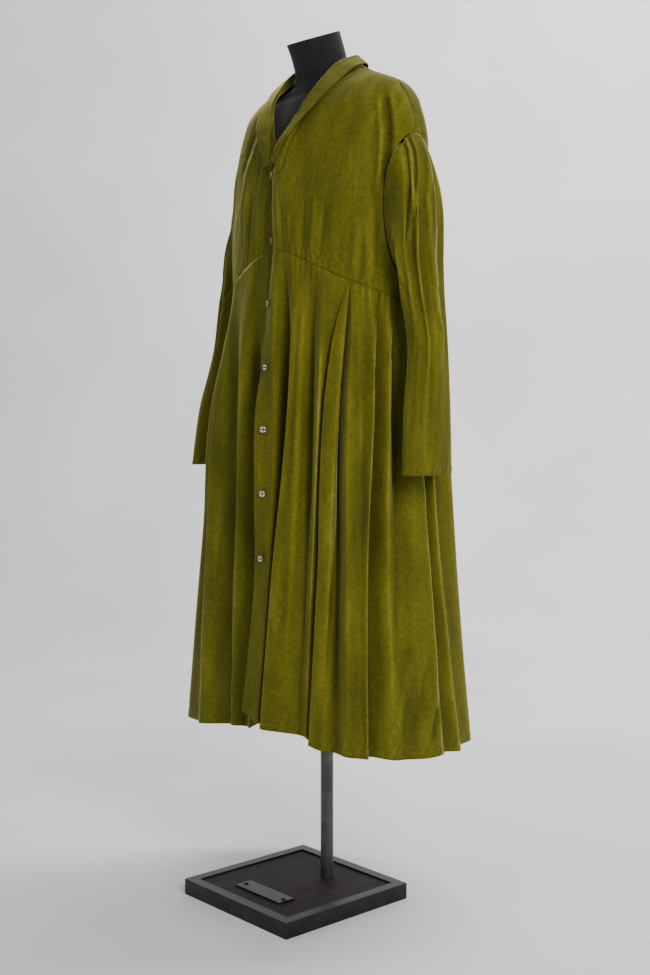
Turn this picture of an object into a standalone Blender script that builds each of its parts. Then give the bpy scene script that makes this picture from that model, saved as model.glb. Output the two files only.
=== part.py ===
"""Velvet coat with a gathered skirt, on a limbless dress form with a pole and a square base.

Metres, +Z up. The origin is on the pole's axis, at the floor. The coat's front faces -Y, and
the wearer's left is +X. An angle round the coat is 0 at centre front and 90 at the wearer's left.
"""

import math

import bmesh
import bpy
import numpy as np

# Cloth
CLOTH = 0.0018
MILLIMETRES = 1000.0
SEAM_GAP = 0.0022
RIGHT_BAND_GAP = 0.0014
WAIST_GAP = 0.0009

# Levels of the coat. A level is a ring's height at centre front, and the ring hangs lower behind it.
HEM = 0.355
WAIST = 1.2165
V_POINT = 1.366
NECK = 1.555

# One row for each ring of the coat's plain surface, from the hem up. half_width, front and back
# are its reach from the pole's axis. squareness is its oval's exponent.
# side_drop and back_drop are how far it hangs below its level at the sides and at centre back.
RINGS = {
    "level": (0.355, 0.500, 0.660, 0.777, 0.890, 1.000, 1.119, 1.2165, 1.300, 1.366, 1.420,
              1.455, 1.480, 1.497, 1.512, 1.524, 1.538, 1.555),
    "half_width": (0.300, 0.284, 0.268, 0.259, 0.252, 0.242, 0.228, 0.216, 0.216, 0.222, 0.230,
                   0.220, 0.209, 0.197, 0.180, 0.155, 0.119, 0.085),
    "front": (0.188, 0.176, 0.164, 0.156, 0.152, 0.149, 0.143, 0.137, 0.134, 0.128, 0.118,
              0.106, 0.093, 0.081, 0.067, 0.053, 0.036, 0.018),
    "back": (0.222, 0.211, 0.202, 0.195, 0.187, 0.170, 0.146, 0.124, 0.120, 0.118, 0.112,
             0.107, 0.100, 0.094, 0.087, 0.080, 0.070, 0.058),
    "squareness": (2.1, 2.1, 2.1, 2.1, 2.1, 2.1, 2.15, 2.2, 2.2, 2.1, 1.85,
                   1.9, 2.0, 2.0, 2.0, 2.0, 2.0, 2.0),
    "side_drop": (0.028, 0.026, 0.028, 0.034, 0.042, 0.052, 0.066, 0.075, 0.036, 0.010, 0.0,
                  0.0, 0.0, 0.0, 0.0, 0.0, 0.0, 0.0),
    "back_drop": (0.040, 0.036, 0.032, 0.034, 0.042, 0.054, 0.070, 0.080, 0.040, 0.012, 0.0,
                  0.0, 0.0, 0.0, 0.0, 0.0, 0.0, 0.0),
}
# The left front laps over the right one: the two part by this much, over this many degrees.
LAP = 0.016
LAP_TURN = 6.0
LAP_REACH = 22.0
LAP_TOP = (1.380, 1.470)

# The hem isn't quite level: its rise in millimetres at angles round it.
HEM_RISE = {
    "angle": (-180.0, -100.0, -60.0, -30.0, -9.0, 9.0, 13.0, 38.0, 41.0, 55.0, 64.0, 80.0, 90.0,
              120.0, 180.0),
    "rise": (0.0, -8.0, -18.0, -14.0, -16.0, 9.0, 3.0, 7.0, -6.0, -8.0, -3.0, 0.0, 7.0, 8.0, 0.0),
}
HEM_RISE_HEIGHT = 0.150

# Levels at which the skirt's folds are given, and the skirt's rows.
FOLD_LEVELS = (HEM, 0.660, 1.000, 1.120, WAIST)
SKIRT_LEVELS = (HEM, 0.440, 0.540, 0.640, 0.740, 0.840, 0.940, 1.030, 1.110, 1.170, WAIST)

# One row for each fold line of the skirt: its name, its angle at the five fold levels from the hem
# up, and how far it stands out there in millimetres. All folds start flat at the waist seam.
#                        angle: hem, low, hip, high, waist   out: hem, low, hip, high
FOLDS_LEFT = (
    ("band seam",               9.0, 12.5, 12.0, 10.0, 10.0,    2, 2, 2, 2),
    ("valley by the band",     11.5, 15.0, 18.5, 18.0, 17.0,  -16, -24, -32, -16),
    ("first ridge",            13.0, 17.0, 25.5, 26.0, 24.5,    8, 10, 10, 5),
    ("first face",             24.0, 27.0, 31.5, 33.0, 33.0,    4, 5, 5, 3),
    ("second valley",          33.0, 35.5, 38.0, 39.0, 40.5,   -6, -14, -24, -12),
    ("pleat fold",             37.5, 40.0, 43.8, 44.8, 46.0,   -2, 2, 6, 3),
    ("under the pleat",        41.0, 44.5, 48.6, 54.5, 59.0,  -14, -16, -16, -8),
    ("pleat edge",             40.0, 43.6, 47.6, 52.6, 59.6,   12, 11, 9, 5),
    ("pleat inner edge",       46.0, 49.5, 54.3, 57.2, 60.0,    8, 8, 7, 3),
    ("pleat gap",              51.0, 53.6, 56.2, 58.7, 60.4,   -8, -22, -38, -22),
    ("flap",                   55.5, 56.3, 57.8, 60.1, 61.0,    6, 10, 9, 4),
    ("flap face",              59.5, 60.5, 63.2, 63.4, 63.5,    8, 7, 4, 2),
    ("flap dip",               61.5, 62.5, 66.0, 66.5, 67.0,    9, 7, -3, -2),
    ("flap edge",              63.0, 64.5, 69.0, 70.6, 71.0,   11, 11, 8, 4),
    ("valley by the flap",     64.6, 66.5, 71.5, 73.2, 74.0,  -10, -20, -24, -12),
    ("side ridge",             72.0, 72.5, 75.5, 77.5, 78.5,    3, 4, 5, 3),
    ("valley under sleeve",    77.0, 78.0, 80.0, 81.0, 82.0,   -5, -10, -20, -12),
    ("side face",              84.0, 84.5, 85.5, 86.0, 86.5,    3, 1, -4, -3),
    ("side seam",              90.5, 90.5, 90.5, 90.5, 90.5,    4, 2, -6, -3),
    ("valley behind the seam", 94.0, 94.0, 94.5, 94.5, 94.5,  -10, -12, -14, -8),
    ("ridge below the cuff",   99.5, 97.0, 98.0, 98.5, 99.0,    6, 4, -4, -2),
    ("valley below the cuff", 106.0, 104.0, 103.5, 104.0, 104.0, -12, -16, -16, -8),
    ("right outline",         117.0, 116.0, 114.0, 113.0, 112.0,  4, 6, 5, 3),
)
FOLDS_RIGHT = (
    ("left outline",          -84.0, -84.0, -82.0, -80.0, -80.0,  10, 7, -2, -3),
    ("outline ridge",         -66.0, -68.0, -68.0, -68.0, -68.0,  34, 35, 30, 12),
    ("outline valley",        -54.0, -60.0, -61.0, -61.0, -61.0,  12, 12, 12, 4),
    ("sweeping ridge",        -40.0, -51.0, -53.0, -53.0, -53.0,  22, 28, 24, 8),
    ("inner valley",          -32.0, -40.0, -44.0, -45.0, -45.0, -20, -20, -12, -4),
    ("near ridge",            -24.0, -29.0, -28.0, -28.0, -27.0,  -6, 2, 8, 4),
    ("broad valley",          -17.0, -19.5, -21.0, -21.0, -20.0, -18, -20, -14, -5),
    ("valley by the band",    -11.5, -13.0, -14.0, -15.0, -15.0,  -9, -9, -8, -2),
    ("band seam",              -8.0, -8.5, -9.0, -9.5, -10.0,  -2, -2, -1, 0),
)
# Between these two tables the back is gathered evenly, with folds that wander a little.
BACK_FOLDS = 13
BACK_FOLD_DEPTH = 0.0085
BACK_FOLD_SEED = 11

# Soft troughs and ridges of the bodice: angle and level of both ends, half width in degrees,
# and depth in millimetres, outwards where it is positive.
BODICE_FOLDS = (
    # angle_top, level_top, angle_low, level_low, half_width, depth
    (78.0, 1.500, 76.0, 1.225, 6.0, -17.0),
    (-78.0, 1.500, -76.0, 1.225, 6.0, -15.0),
    (38.0, 1.400, 42.0, 1.225, 6.0, 3.0),
    (-40.0, 1.400, -36.0, 1.225, 6.0, 3.0),
    (108.0, 1.480, 106.0, 1.225, 6.0, -12.0),
    (-108.0, 1.480, -106.0, 1.225, 6.0, -12.0),
    (180.0, 1.400, 180.0, 1.225, 8.0, -3.0),
    (112.0, 1.510, 112.0, 1.270, 16.0, 20.0),
    (-112.0, 1.510, -112.0, 1.270, 16.0, 20.0),
    (-50.0, 1.480, -50.0, 1.350, 14.0, -8.0),
)
# A fold is deepest at this share of its height and fades out this share away from it.
FOLD_MIDDLE = 0.40
FOLD_FADE = 0.75
# The bodice is flat at the waist seam, and this much higher its folds have their full depth.
BODICE_FOLD_START = 0.060

# Neckline: the angle at which each level of a front starts.
NECKLINE = {
    "level": (V_POINT, 1.412, 1.455, 1.475, 1.492, 1.508, 1.523, 1.538, NECK),
    "angle": (6.5, 9.0, 17.0, 24.0, 34.0, 45.0, 56.0, 68.0, 85.0),
}

# Panels' columns, and spans between two fold lines.
SKIRT_STEPS = 2
FRONT_COLUMNS = 11
BACK_COLUMNS = 18
SIDE_ANGLE = 90.0
RIGHT_SIDE_SEAM = 10

# Armhole: an upright oval hole at each side.
ARMHOLE_LEVEL = 1.322
ARMHOLE_HALF_HEIGHT = 0.090
ARMHOLE_HALF_ANGLE = 12.0
ARMHOLE_ROWS = 7

# Closure: two bands of one width. The wearer's left one lies on top and turns as it falls.
BAND_WIDTH = 0.035
BAND_LEFT = {
    "level": (0.355, 0.480, 0.660, 0.777, 0.893, 1.000, 1.119, 1.2165, 1.300, V_POINT),
    "turn": (6.0, 4.0, 6.0, 26.0, 34.0, 2.0, -18.0, -26.0, -28.0, -26.0),
    "bow": (6.0, 4.0, 0.0, 4.0, 4.0, -8.0, -12.0, -14.0, -14.0, -12.0),
}
BAND_RIGHT_TURN = -2.0
BAND_HEM_RISE = 0.018
BAND_TOP_SLANT = 0.010
BAND_RISE_HEIGHT = 0.120
BAND_COLUMNS = 4

# Buttons: a turned disc on a thread shank.
BUTTON_LEVELS = (1.3506, 1.2325, 1.119, 1.0043, 0.8927, 0.7769, 0.6593)
BUTTON_RADIUS = 0.0075
BUTTON_THICKNESS = 0.0032
SHANK_RADIUS = 0.0024
SHANK_HEIGHT = 0.0012
BUTTON_STEPS = 16
# Distance between the shank and the band: the band's face between its rows lies a little proud.
BUTTON_GAP = 0.0004
# The button's hollow face and rounded edge, as a share of its thickness.
BUTTON_RIM = 0.25

# Sleeves: one row for each level section below the armhole, for the wearer's left sleeve.
SLEEVE = {
    "height": (0.817, 0.920, 1.050, 1.130, 1.190),
    "centre_x": (0.292, 0.287, 0.274, 0.258, 0.248),
    "centre_y": (-0.030, -0.025, -0.014, -0.010, -0.007),
    "half_x": (0.030, 0.031, 0.033, 0.033, 0.033),
    "half_y": (0.0535, 0.050, 0.038, 0.046, 0.052),
}
# Fold lines of a sleeve: angle round it (0 outside, 90 in front), and how far the line stands out
# in millimetres at the armhole, at the elbow and at the cuff.
SLEEVE_FOLDS = (
    # angle, armhole, elbow, cuff
    (0.0, 5, 1, 0), (14.0, 3, 1, 0), (28.0, -6, -1, 0), (37.0, 2, 1, 0), (47.0, -6, -2, 0),
    (62.0, 6, 3, 1), (76.0, 4, 2, 0), (90.0, 6, 2, 1), (108.0, -2, 1, 0), (135.0, -3, -2, 0),
    (180.0, 0, 0, 0), (225.0, -2, -3, 0), (256.0, 2, 2, 1), (280.0, 3, 2, 1),
    (304.0, -4, -2, 0), (322.0, 2, 1, 0), (342.0, -2, -1, 0),
)
SLEEVE_ELBOW = 1.0
SLEEVE_ROWS = 8
SLEEVE_HEAD_ROWS = 5
# The sleeve head leaves the armhole and the tube in straight lines, over this share of its way.
SLEEVE_PULL = 0.40
SLEEVE_LEAN = 0.60
SLEEVE_STEPS = 2
SLEEVE_RIGHT_FORWARD = (-0.016, 0.014)
ARMHOLE_GAP = 0.0026

# Collar: one row for each station along its left half, from the V point to centre back. It is
# sewn to the neckline at this level and, where the level is the neck's, at this angle.
COLLAR = (
    # level, angle   roll: x, y, z                 free edge: x, y, z
    (1.3690, 6.5,     0.0030, -0.1405, 1.3720,     0.0125, -0.1415, 1.3715),
    (1.4050, 8.6,     0.0085, -0.1325, 1.4020,     0.0370, -0.1300, 1.4100),
    (1.4500, 16.0,    0.0350, -0.1120, 1.4490,     0.0660, -0.1120, 1.4500),
    (1.5000, 39.5,    0.0560, -0.0760, 1.5100,     0.0930, -0.0720, 1.5020),
    (1.5300, 62.0,    0.0620, -0.0330, 1.5540,     0.1050, -0.0330, 1.5390),
    (1.5550, 92.0,    0.0640, 0.0100, 1.5745,     0.0910, 0.0120, 1.5575),
    (1.5550, 135.0,   0.0470, 0.0400, 1.5740,     0.0560, 0.0500, 1.5545),
    (1.5550, 180.0,   0.0, 0.0640, 1.5760,     0.0, 0.0760, 1.5520),
)
COLLAR_BACK_ANGLES = (102.0, 118.0, 134.0, 150.0, 165.0, 180.0)
# Along the collar's back one degree counts as this much of level.
COLLAR_BACK_PACE = 0.001
COLLAR_GAP = 0.0040
COLLAR_CROWN = 0.0012
# Where the collar's rows lie between its seam and its roll, and between its roll and its edge.
COLLAR_STAND = (0.55, 0.88)
COLLAR_FALL = (0.14, 0.55)

# Dress form: one row for each level section of the torso, from its flat underside up.
FORM = {
    "level": (0.800, 0.870, 0.960, 1.060, 1.140, 1.230, 1.330, 1.400, 1.440, 1.470, 1.4900,
              1.5012, 1.5105, 1.5222, 1.5340, 1.550, 1.585, 1.612),
    "half_width": (0.150, 0.165, 0.166, 0.138, 0.122, 0.134, 0.154, 0.166, 0.176, 0.185, 0.190,
                   0.187, 0.176, 0.151, 0.111, 0.060, 0.051, 0.0485),
    "front": (0.100, 0.108, 0.106, 0.092, 0.086, 0.096, 0.110, 0.102, 0.088, 0.074, 0.062,
              0.055, 0.050, 0.050, 0.054, 0.062, 0.073, 0.084),
    "back": (0.110, 0.122, 0.120, 0.092, 0.084, 0.090, 0.098, 0.096, 0.090, 0.082, 0.076,
             0.071, 0.066, 0.060, 0.052, 0.042, 0.027, 0.015),
    "centre_y": (0.0, 0.0, 0.0, 0.0, 0.0, 0.0, 0.0, 0.0, 0.0, 0.0, 0.0,
                 0.0, 0.0, 0.0, 0.0, -0.012, -0.021, -0.0335),
    "squareness": (2.2, 2.2, 2.2, 2.2, 2.2, 2.2, 2.2, 2.1, 2.0, 1.95, 1.85,
                   1.7, 1.4, 1.25, 1.15, 1.6, 2.0, 2.0),
}
FORM_COLUMNS = 28
NECK_TILT = 20.0

# Stand
BASE_SIDE = 0.300
BASE_CENTRE = (-0.0135, -0.0690)
FRAME_HEIGHT = 0.030
FRAME_FLANGE = 0.020
FRAME_STEEL = 0.003
TOUCH_GAP = 0.0003
POLE_RADIUS = 0.0123
PLATE_SIZE = (0.127, 0.036, 0.003)
PLATE_CENTRE = (-0.0095, -0.1480)
PLATE_SCREW_SPACING = 0.109
SCREW_RADIUS = 0.0035
SCREW_HEAD = 0.0022


def smooth_curve(stations, values, at):
    """Read, at any places, the smooth curve through values given at rising stations."""
    stations = np.asarray(stations, float)
    values = np.asarray(values, float)
    at = np.clip(np.asarray(at, float), stations[0], stations[-1])
    slopes = np.gradient(values, stations)
    low = np.clip(np.searchsorted(stations, at) - 1, 0, len(stations) - 2)
    width = stations[low + 1] - stations[low]
    t = (at - stations[low]) / width
    rise = t * t * (3.0 - 2.0 * t)
    start_pull = t * (1.0 - t) ** 2 * width
    end_pull = -t * t * (1.0 - t) * width
    return (
        values[low] * (1.0 - rise)
        + values[low + 1] * rise
        + slopes[low] * start_pull
        + slopes[low + 1] * end_pull
    )


def oval_reach(angle, half_width, front, back, squareness):
    """Distance from an oval's centre to its edge, at angles in radians from the front."""
    across, forward = np.abs(np.sin(angle)), np.cos(angle)
    depth = np.where(forward > 0.0, front, back)
    return ((across / half_width) ** squareness
            + np.abs(forward / depth) ** squareness) ** (-1.0 / squareness)


def ring_point(angle, level, out=0.0):
    """Point of the coat's plain surface, moved out level by `out`."""
    angle, level, out = np.broadcast_arrays(
        np.radians(np.asarray(angle, float)), np.asarray(level, float), np.asarray(out, float)
    )
    read = {name: smooth_curve(RINGS["level"], column, level)
            for name, column in RINGS.items() if name != "level"}
    across, forward = np.sin(angle), np.cos(angle)
    side_drop, back_drop = read.pop("side_drop"), read.pop("back_drop")
    reach = oval_reach(angle, **read) + out
    degrees = (np.degrees(angle) + 180.0) % 360.0 - 180.0
    fade = np.clip((LAP_TOP[1] - level) / (LAP_TOP[1] - LAP_TOP[0]), 0.0, 1.0)
    reach = reach + LAP * fade * np.tanh(degrees / LAP_TURN) * np.exp(-(degrees / LAP_REACH) ** 2)
    near_hem = np.clip(1.0 - (level - HEM) / HEM_RISE_HEIGHT, 0.0, 1.0) / MILLIMETRES
    height = (level - side_drop * across**2 - back_drop * ((1.0 - forward) / 2.0) ** 2
              + near_hem * np.interp(degrees, HEM_RISE["angle"], HEM_RISE["rise"]))
    return np.stack([reach * across, -reach * forward, height], axis=-1)


def through_points(points, steps, closed=False):
    """Smooth line through the points, with `steps` spans between each two of them."""
    points = np.asarray(points, float)
    if closed:
        before = np.vstack([points[-1], points, points[:2]])
    else:
        before = np.vstack([2.0 * points[0] - points[1], points, 2.0 * points[-1] - points[-2]])
    line = []
    for a, b, c, d in zip(before[:-3], before[1:-2], before[2:-1], before[3:]):
        span = np.linalg.norm(c - b) + 1e-9
        pull_b = (c - a) * span / (np.linalg.norm(b - a) + span)
        pull_c = (d - b) * span / (np.linalg.norm(d - c) + span)
        for t in np.arange(steps) / steps:
            rise = t * t * (3.0 - 2.0 * t)
            line.append(b + (c - b) * rise + pull_b * t * (1.0 - t) ** 2
                        - pull_c * t * t * (1.0 - t))
    if not closed:
        line.append(points[-1])
    return np.array(line)


def collection_named(name):
    collection = bpy.data.collections.new(name)
    bpy.context.scene.collection.children.link(collection)
    return collection


def material(name, colour, roughness, metallic=0.0):
    finish = bpy.data.materials.new(name)
    finish.use_nodes = True
    shader = finish.node_tree.nodes["Principled BSDF"]
    shader.inputs["Base Color"].default_value = (*colour, 1.0)
    shader.inputs["Roughness"].default_value = roughness
    shader.inputs["Metallic"].default_value = metallic
    finish.diffuse_color = (*colour, 1.0)
    return finish


def add_object(name, mesh, finish, collection, smooth=True):
    mesh.materials.append(finish)
    if smooth:
        mesh.shade_smooth()
        mesh.set_sharp_from_angle(angle=math.radians(50.0))
    made = bpy.data.objects.new(name, mesh)
    collection.objects.link(made)
    return made


def grid_mesh(name, rows, closed=False):
    """Open sheet of quads through rows of points. Rows run up, and columns run anticlockwise."""
    rows = np.asarray(rows, float)
    count, width = rows.shape[:2]
    sheet = bmesh.new()
    corners = [[sheet.verts.new(point) for point in row] for row in rows]
    for low in range(count - 1):
        for left in range(width if closed else width - 1):
            right = (left + 1) % width
            sheet.faces.new((corners[low][left], corners[low][right],
                             corners[low + 1][right], corners[low + 1][left]))
    mesh = bpy.data.meshes.new(name)
    for edge in sheet.edges:
        edge.smooth = not edge.is_boundary
    sheet.to_mesh(mesh)
    sheet.free()
    return mesh


def cloth_piece(name, rows, finish, collection, closed=False):
    """Cloth wall whose outer face is the sheet through the rows."""
    piece = add_object(name, grid_mesh(name, rows, closed), finish, collection)
    wall = piece.modifiers.new("Cloth wall", "SOLIDIFY")
    wall.thickness = CLOTH
    wall.offset = -1.0
    wall.use_rim = True
    return piece


def drawn_in(rows, low=0.0, high=0.0, left=0.0, right=0.0):
    """The rows with each edge drawn in along the sheet by a gap."""
    rows = np.array(rows, float)
    for edge, inner, gap in (((0,), (1,), low), ((-1,), (-2,), high),
                             ((slice(None), 0), (slice(None), 1), left),
                             ((slice(None), -1), (slice(None), -2), right)):
        if gap:
            away = rows[inner] - rows[edge]
            rows[edge] = rows[edge] + away * gap / np.linalg.norm(away, axis=-1, keepdims=True)
    return rows


def back_folds():
    """Fold lines of the gathered back, between the two tables, in the tables' own form."""
    chance = np.random.default_rng(BACK_FOLD_SEED)
    first, last = FOLDS_LEFT[-1][1:6], [angle + 360.0 for angle in FOLDS_RIGHT[0][1:6]]
    lines = 2 * BACK_FOLDS
    rows = []
    for line in range(1, lines):
        share = line / lines
        wander = chance.uniform(-0.22, 0.22, 2)
        angles = [a + (b - a) * (share + (wander[0] if k < 2 else wander[1]) / lines)
                  for k, (a, b) in enumerate(zip(first, last))]
        side = -1.0 if line % 2 else 1.0
        depth = side * BACK_FOLD_DEPTH * MILLIMETRES * chance.uniform(0.6, 1.25)
        rows.append(("back fold", *angles, depth, depth * chance.uniform(0.7, 1.1),
                     depth * 0.8, depth * 0.45))
    # The centre back seam is the middle line.
    middle = lines // 2 - 1
    rows[middle] = ("centre back", *[180.0] * 5, *rows[middle][6:])
    return rows


def skirt_folds():
    """All fold lines in order, from the left band seam round the back to the right one."""
    right = [(name, *[angle + 360.0 for angle in row[:5]], *row[5:])
             for name, *row in FOLDS_RIGHT]
    return [*FOLDS_LEFT, *back_folds(), *right]


def skirt_rows(folds, levels, steps):
    """Rows of points round the skirt, from the hem up."""
    rows = []
    for level in levels:
        angles = [smooth_curve(FOLD_LEVELS, row[1:6], level) for row in folds]
        outs = [smooth_curve(FOLD_LEVELS, (*row[6:], 0.0), level) / MILLIMETRES for row in folds]
        rows.append(through_points(ring_point(angles, level, outs), steps))
    return np.array(rows)


def bodice_out(angle, level):
    """How far the bodice stands out of its plain ring, in metres."""
    angle = (np.asarray(angle, float) + 180.0) % 360.0 - 180.0
    total = np.zeros(np.broadcast(angle, level).shape)
    for angle_top, level_top, angle_low, level_low, half_width, depth in BODICE_FOLDS:
        share = (level - level_low) / (level_top - level_low)
        middle = angle_low + (angle_top - angle_low) * share
        away = np.abs((angle - middle + 180.0) % 360.0 - 180.0) / half_width
        along = np.clip(1.0 - ((share - FOLD_MIDDLE) / FOLD_FADE) ** 2, 0.0, 1.0)
        total = total + depth / MILLIMETRES * np.exp(-away**2) * along
    return total * np.clip((level - WAIST) / BODICE_FOLD_START, 0.0, 1.0)


def armhole_reach(level):
    """Half the armhole's width in degrees at a level."""
    height = (np.asarray(level, float) - ARMHOLE_LEVEL) / ARMHOLE_HALF_HEIGHT
    return ARMHOLE_HALF_ANGLE * np.sqrt(np.clip(1.0 - height**2, 0.0, None))


def bodice_levels():
    """Levels of the bodice's rows: close together at both ends of the armhole."""
    turns = np.linspace(math.pi, 0.0, ARMHOLE_ROWS)
    armhole = ARMHOLE_LEVEL + ARMHOLE_HALF_HEIGHT * np.cos(turns)
    shoulder = (1.434, 1.455, 1.475, 1.492, 1.508, 1.523, 1.538, NECK)
    return np.array([WAIST, *armhole, *shoulder])


def bodice_rows(starts, ends, columns):
    """Rows between a start and an end angle given for each level of the bodice."""
    rows = []
    for level, start, end in zip(bodice_levels(), starts, ends):
        angles = np.linspace(start, end, columns + 1)
        rows.append(ring_point(angles, level, bodice_out(angles, level)))
    return np.array(rows)


def front_start(level):
    """Angle at which a front starts at a level: the band seam, then the neckline."""
    level = np.asarray(level, float)
    neck = np.interp(level, NECKLINE["level"], NECKLINE["angle"])
    rise = np.clip((level - WAIST) / (V_POINT - WAIST), 0.0, 1.0)
    seam = FOLDS_LEFT[0][5] + (NECKLINE["angle"][0] - FOLDS_LEFT[0][5]) * rise
    return np.where(level > V_POINT, neck, seam)


def closure_seam(folds, level):
    """Where a closure band is sewn to its front, at any level."""
    if level > WAIST:
        angle = math.copysign(front_start(level), folds[5])
        return ring_point(angle, level, bodice_out(angle, level))
    angle = smooth_curve(FOLD_LEVELS, folds[1:6], level)
    out = smooth_curve(FOLD_LEVELS, (*folds[6:], 0.0), level) / MILLIMETRES
    return ring_point(angle, level, out)


def band_levels():
    """Levels of a band's rows: those of the panels beside it, with one between each two below."""
    skirt = np.array(SKIRT_LEVELS)
    bodice = bodice_levels()
    return np.unique([*skirt, *(skirt[1:] + skirt[:-1]) / 2.0,
                      *bodice[bodice < V_POINT - SEAM_GAP], V_POINT])


def band_rows(folds, turn_of, side):
    """Rows across a closure band, from its seam outwards. side is 1 where it runs towards +X."""
    rows = []
    for level in band_levels():
        turn, bow = turn_of(level)
        point = closure_seam(folds, level)
        gap = RIGHT_BAND_GAP if side > 0 else SEAM_GAP
        low = np.clip(1.0 - (level - HEM) / BAND_RISE_HEIGHT, 0.0, 1.0)
        high = np.clip(1.0 - (V_POINT - level) / BAND_RISE_HEIGHT, 0.0, 1.0)
        row = []
        for column in range(BAND_COLUMNS + 1):
            share = column / BAND_COLUMNS
            swing = math.radians(turn + bow * share)
            step = BAND_WIDTH / BAND_COLUMNS if column else gap
            point = point + step * np.array([side * math.cos(swing), -math.sin(swing), 0.0])
            lift = (low * BAND_HEM_RISE - high * BAND_TOP_SLANT) * share
            row.append(point + np.array([0.0, 0.0, lift]))
        rows.append(row if side > 0 else row[::-1])
    return np.array(rows)


def left_turn(level):
    return (smooth_curve(BAND_LEFT["level"], BAND_LEFT["turn"], level),
            smooth_curve(BAND_LEFT["level"], BAND_LEFT["bow"], level))


def right_turn(level):
    return BAND_RIGHT_TURN, 0.0


def build_button(number, band_point, facing, finish, collection):
    """Button on the middle of the left band, its axis along the band's facing direction."""
    rim = BUTTON_RIM * BUTTON_THICKNESS
    profile = (
        (0.0, BUTTON_THICKNESS - rim), (BUTTON_RADIUS - 2.0 * rim, BUTTON_THICKNESS - rim),
        (BUTTON_RADIUS - rim, BUTTON_THICKNESS), (BUTTON_RADIUS, BUTTON_THICKNESS - rim),
        (BUTTON_RADIUS - rim, 0.0), (SHANK_RADIUS, 0.0), (SHANK_RADIUS, -SHANK_HEIGHT),
        (0.0, -SHANK_HEIGHT),
    )
    mesh = bpy.data.meshes.new(f"button_{number}")
    mesh.from_pydata([(x, 0.0, z) for x, z in profile],
                     [(k, k + 1) for k in range(len(profile) - 1)], [])
    button = add_object(f"button_{number}", mesh, finish, collection, smooth=False)
    turning = button.modifiers.new("Turned", "SCREW")
    turning.steps = turning.render_steps = BUTTON_STEPS
    turning.use_merge_vertices = True
    turning.merge_threshold = 0.00005
    turning.use_normal_flip = False
    button.rotation_euler = (math.radians(90.0), 0.0, math.atan2(facing[0], -facing[1]))
    button.location = band_point + facing * (BUTTON_GAP + SHANK_HEIGHT)
    return button


def armhole_point(turn, side):
    """Point of the armhole's edge. turn is 0 at its top and 90 at its front."""
    turn = np.radians(turn)
    angle = 90.0 - ARMHOLE_HALF_ANGLE * np.sin(turn)
    level = ARMHOLE_LEVEL + ARMHOLE_HALF_HEIGHT * np.cos(turn)
    point = ring_point(side * angle, level, bodice_out(side * angle, level))
    return point + np.array([side * ARMHOLE_GAP, 0.0, 0.0])


def sleeve_ring(height, turns, side):
    """Points of a level section of a sleeve's plain tube."""
    read = {name: smooth_curve(SLEEVE["height"], column, height)
            for name, column in SLEEVE.items() if name != "height"}
    drop = (SLEEVE["height"][-1] - height) / (SLEEVE["height"][-1] - SLEEVE["height"][0])
    turns = np.radians(turns)
    x = read["centre_x"] + read["half_x"] * np.cos(turns)
    y = read["centre_y"] - read["half_y"] * np.sin(turns)
    if side < 0:
        y = y - np.interp(drop, (0.0, 1.0), SLEEVE_RIGHT_FORWARD)
    return np.stack([side * x, y, np.full_like(x, height)], axis=-1)


def sleeve_rows(side, steps):
    """Rows round a sleeve, from the cuff up to the armhole."""
    turns = np.array([row[0] for row in SLEEVE_FOLDS])
    outward = np.stack([side * np.cos(np.radians(turns)), -np.sin(np.radians(turns)),
                        np.zeros(len(turns))], axis=-1)
    outs = np.array([row[1:] for row in SLEEVE_FOLDS]) / MILLIMETRES
    heights = SLEEVE["height"]
    rows = []
    for height in np.linspace(heights[0], heights[-1], SLEEVE_ROWS):
        out = [smooth_curve((heights[0], SLEEVE_ELBOW, heights[-1]), line[::-1], height) for line in outs]
        rows.append(sleeve_ring(height, turns, side) + outward * np.array(out)[:, None])
    top = rows[-1]
    loop = armhole_point(turns, side)
    reach = np.linalg.norm(loop - top, axis=-1, keepdims=True)
    lean = np.array([side * SLEEVE_LEAN, 0.0, -1.0])
    first_pull = loop + lean * reach * SLEEVE_PULL
    last_pull = top + np.array([0.0, 0.0, 1.0]) * reach * SLEEVE_PULL
    for t in np.linspace(0.0, 1.0, SLEEVE_HEAD_ROWS + 1)[1:]:
        back = 1.0 - t
        rows.append(back**3 * top + 3.0 * back**2 * t * last_pull
                    + 3.0 * back * t**2 * first_pull + t**3 * loop)
    rows = [through_points(row, steps, closed=True) for row in rows]
    return np.array(rows if side < 0 else [row[::-1] for row in rows])


def collar_lines():
    """The collar's seam, roll and free edge along its left half, station by station."""
    front = bodice_levels()
    front = np.array([COLLAR[0][0], *front[front > COLLAR[0][0]]])
    levels = np.array([*front, *[NECK] * len(COLLAR_BACK_ANGLES)])
    angles = np.array([*front_start(front), *COLLAR_BACK_ANGLES])
    inner = ring_point(angles, levels)
    drop = ring_point(angles, levels - COLLAR_GAP)
    turn = ring_point(angles + 3.0, levels)
    away = np.where(levels[:, None] < NECK, inner - turn, inner - drop)
    seam = inner + away * COLLAR_GAP / np.linalg.norm(away, axis=-1, keepdims=True)
    table = np.array(COLLAR)
    given = table[:, 0] + (table[:, 1] - front_start(NECK)) * COLLAR_BACK_PACE * (table[:, 0] >= NECK)
    wanted = levels + (angles - front_start(NECK)) * COLLAR_BACK_PACE * (levels >= NECK)
    roll, edge = (
        np.stack([smooth_curve(given, table[:, column], wanted) for column in columns], axis=-1)
        for columns in ((2, 3, 4), (5, 6, 7))
    )
    return seam, roll, edge


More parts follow.
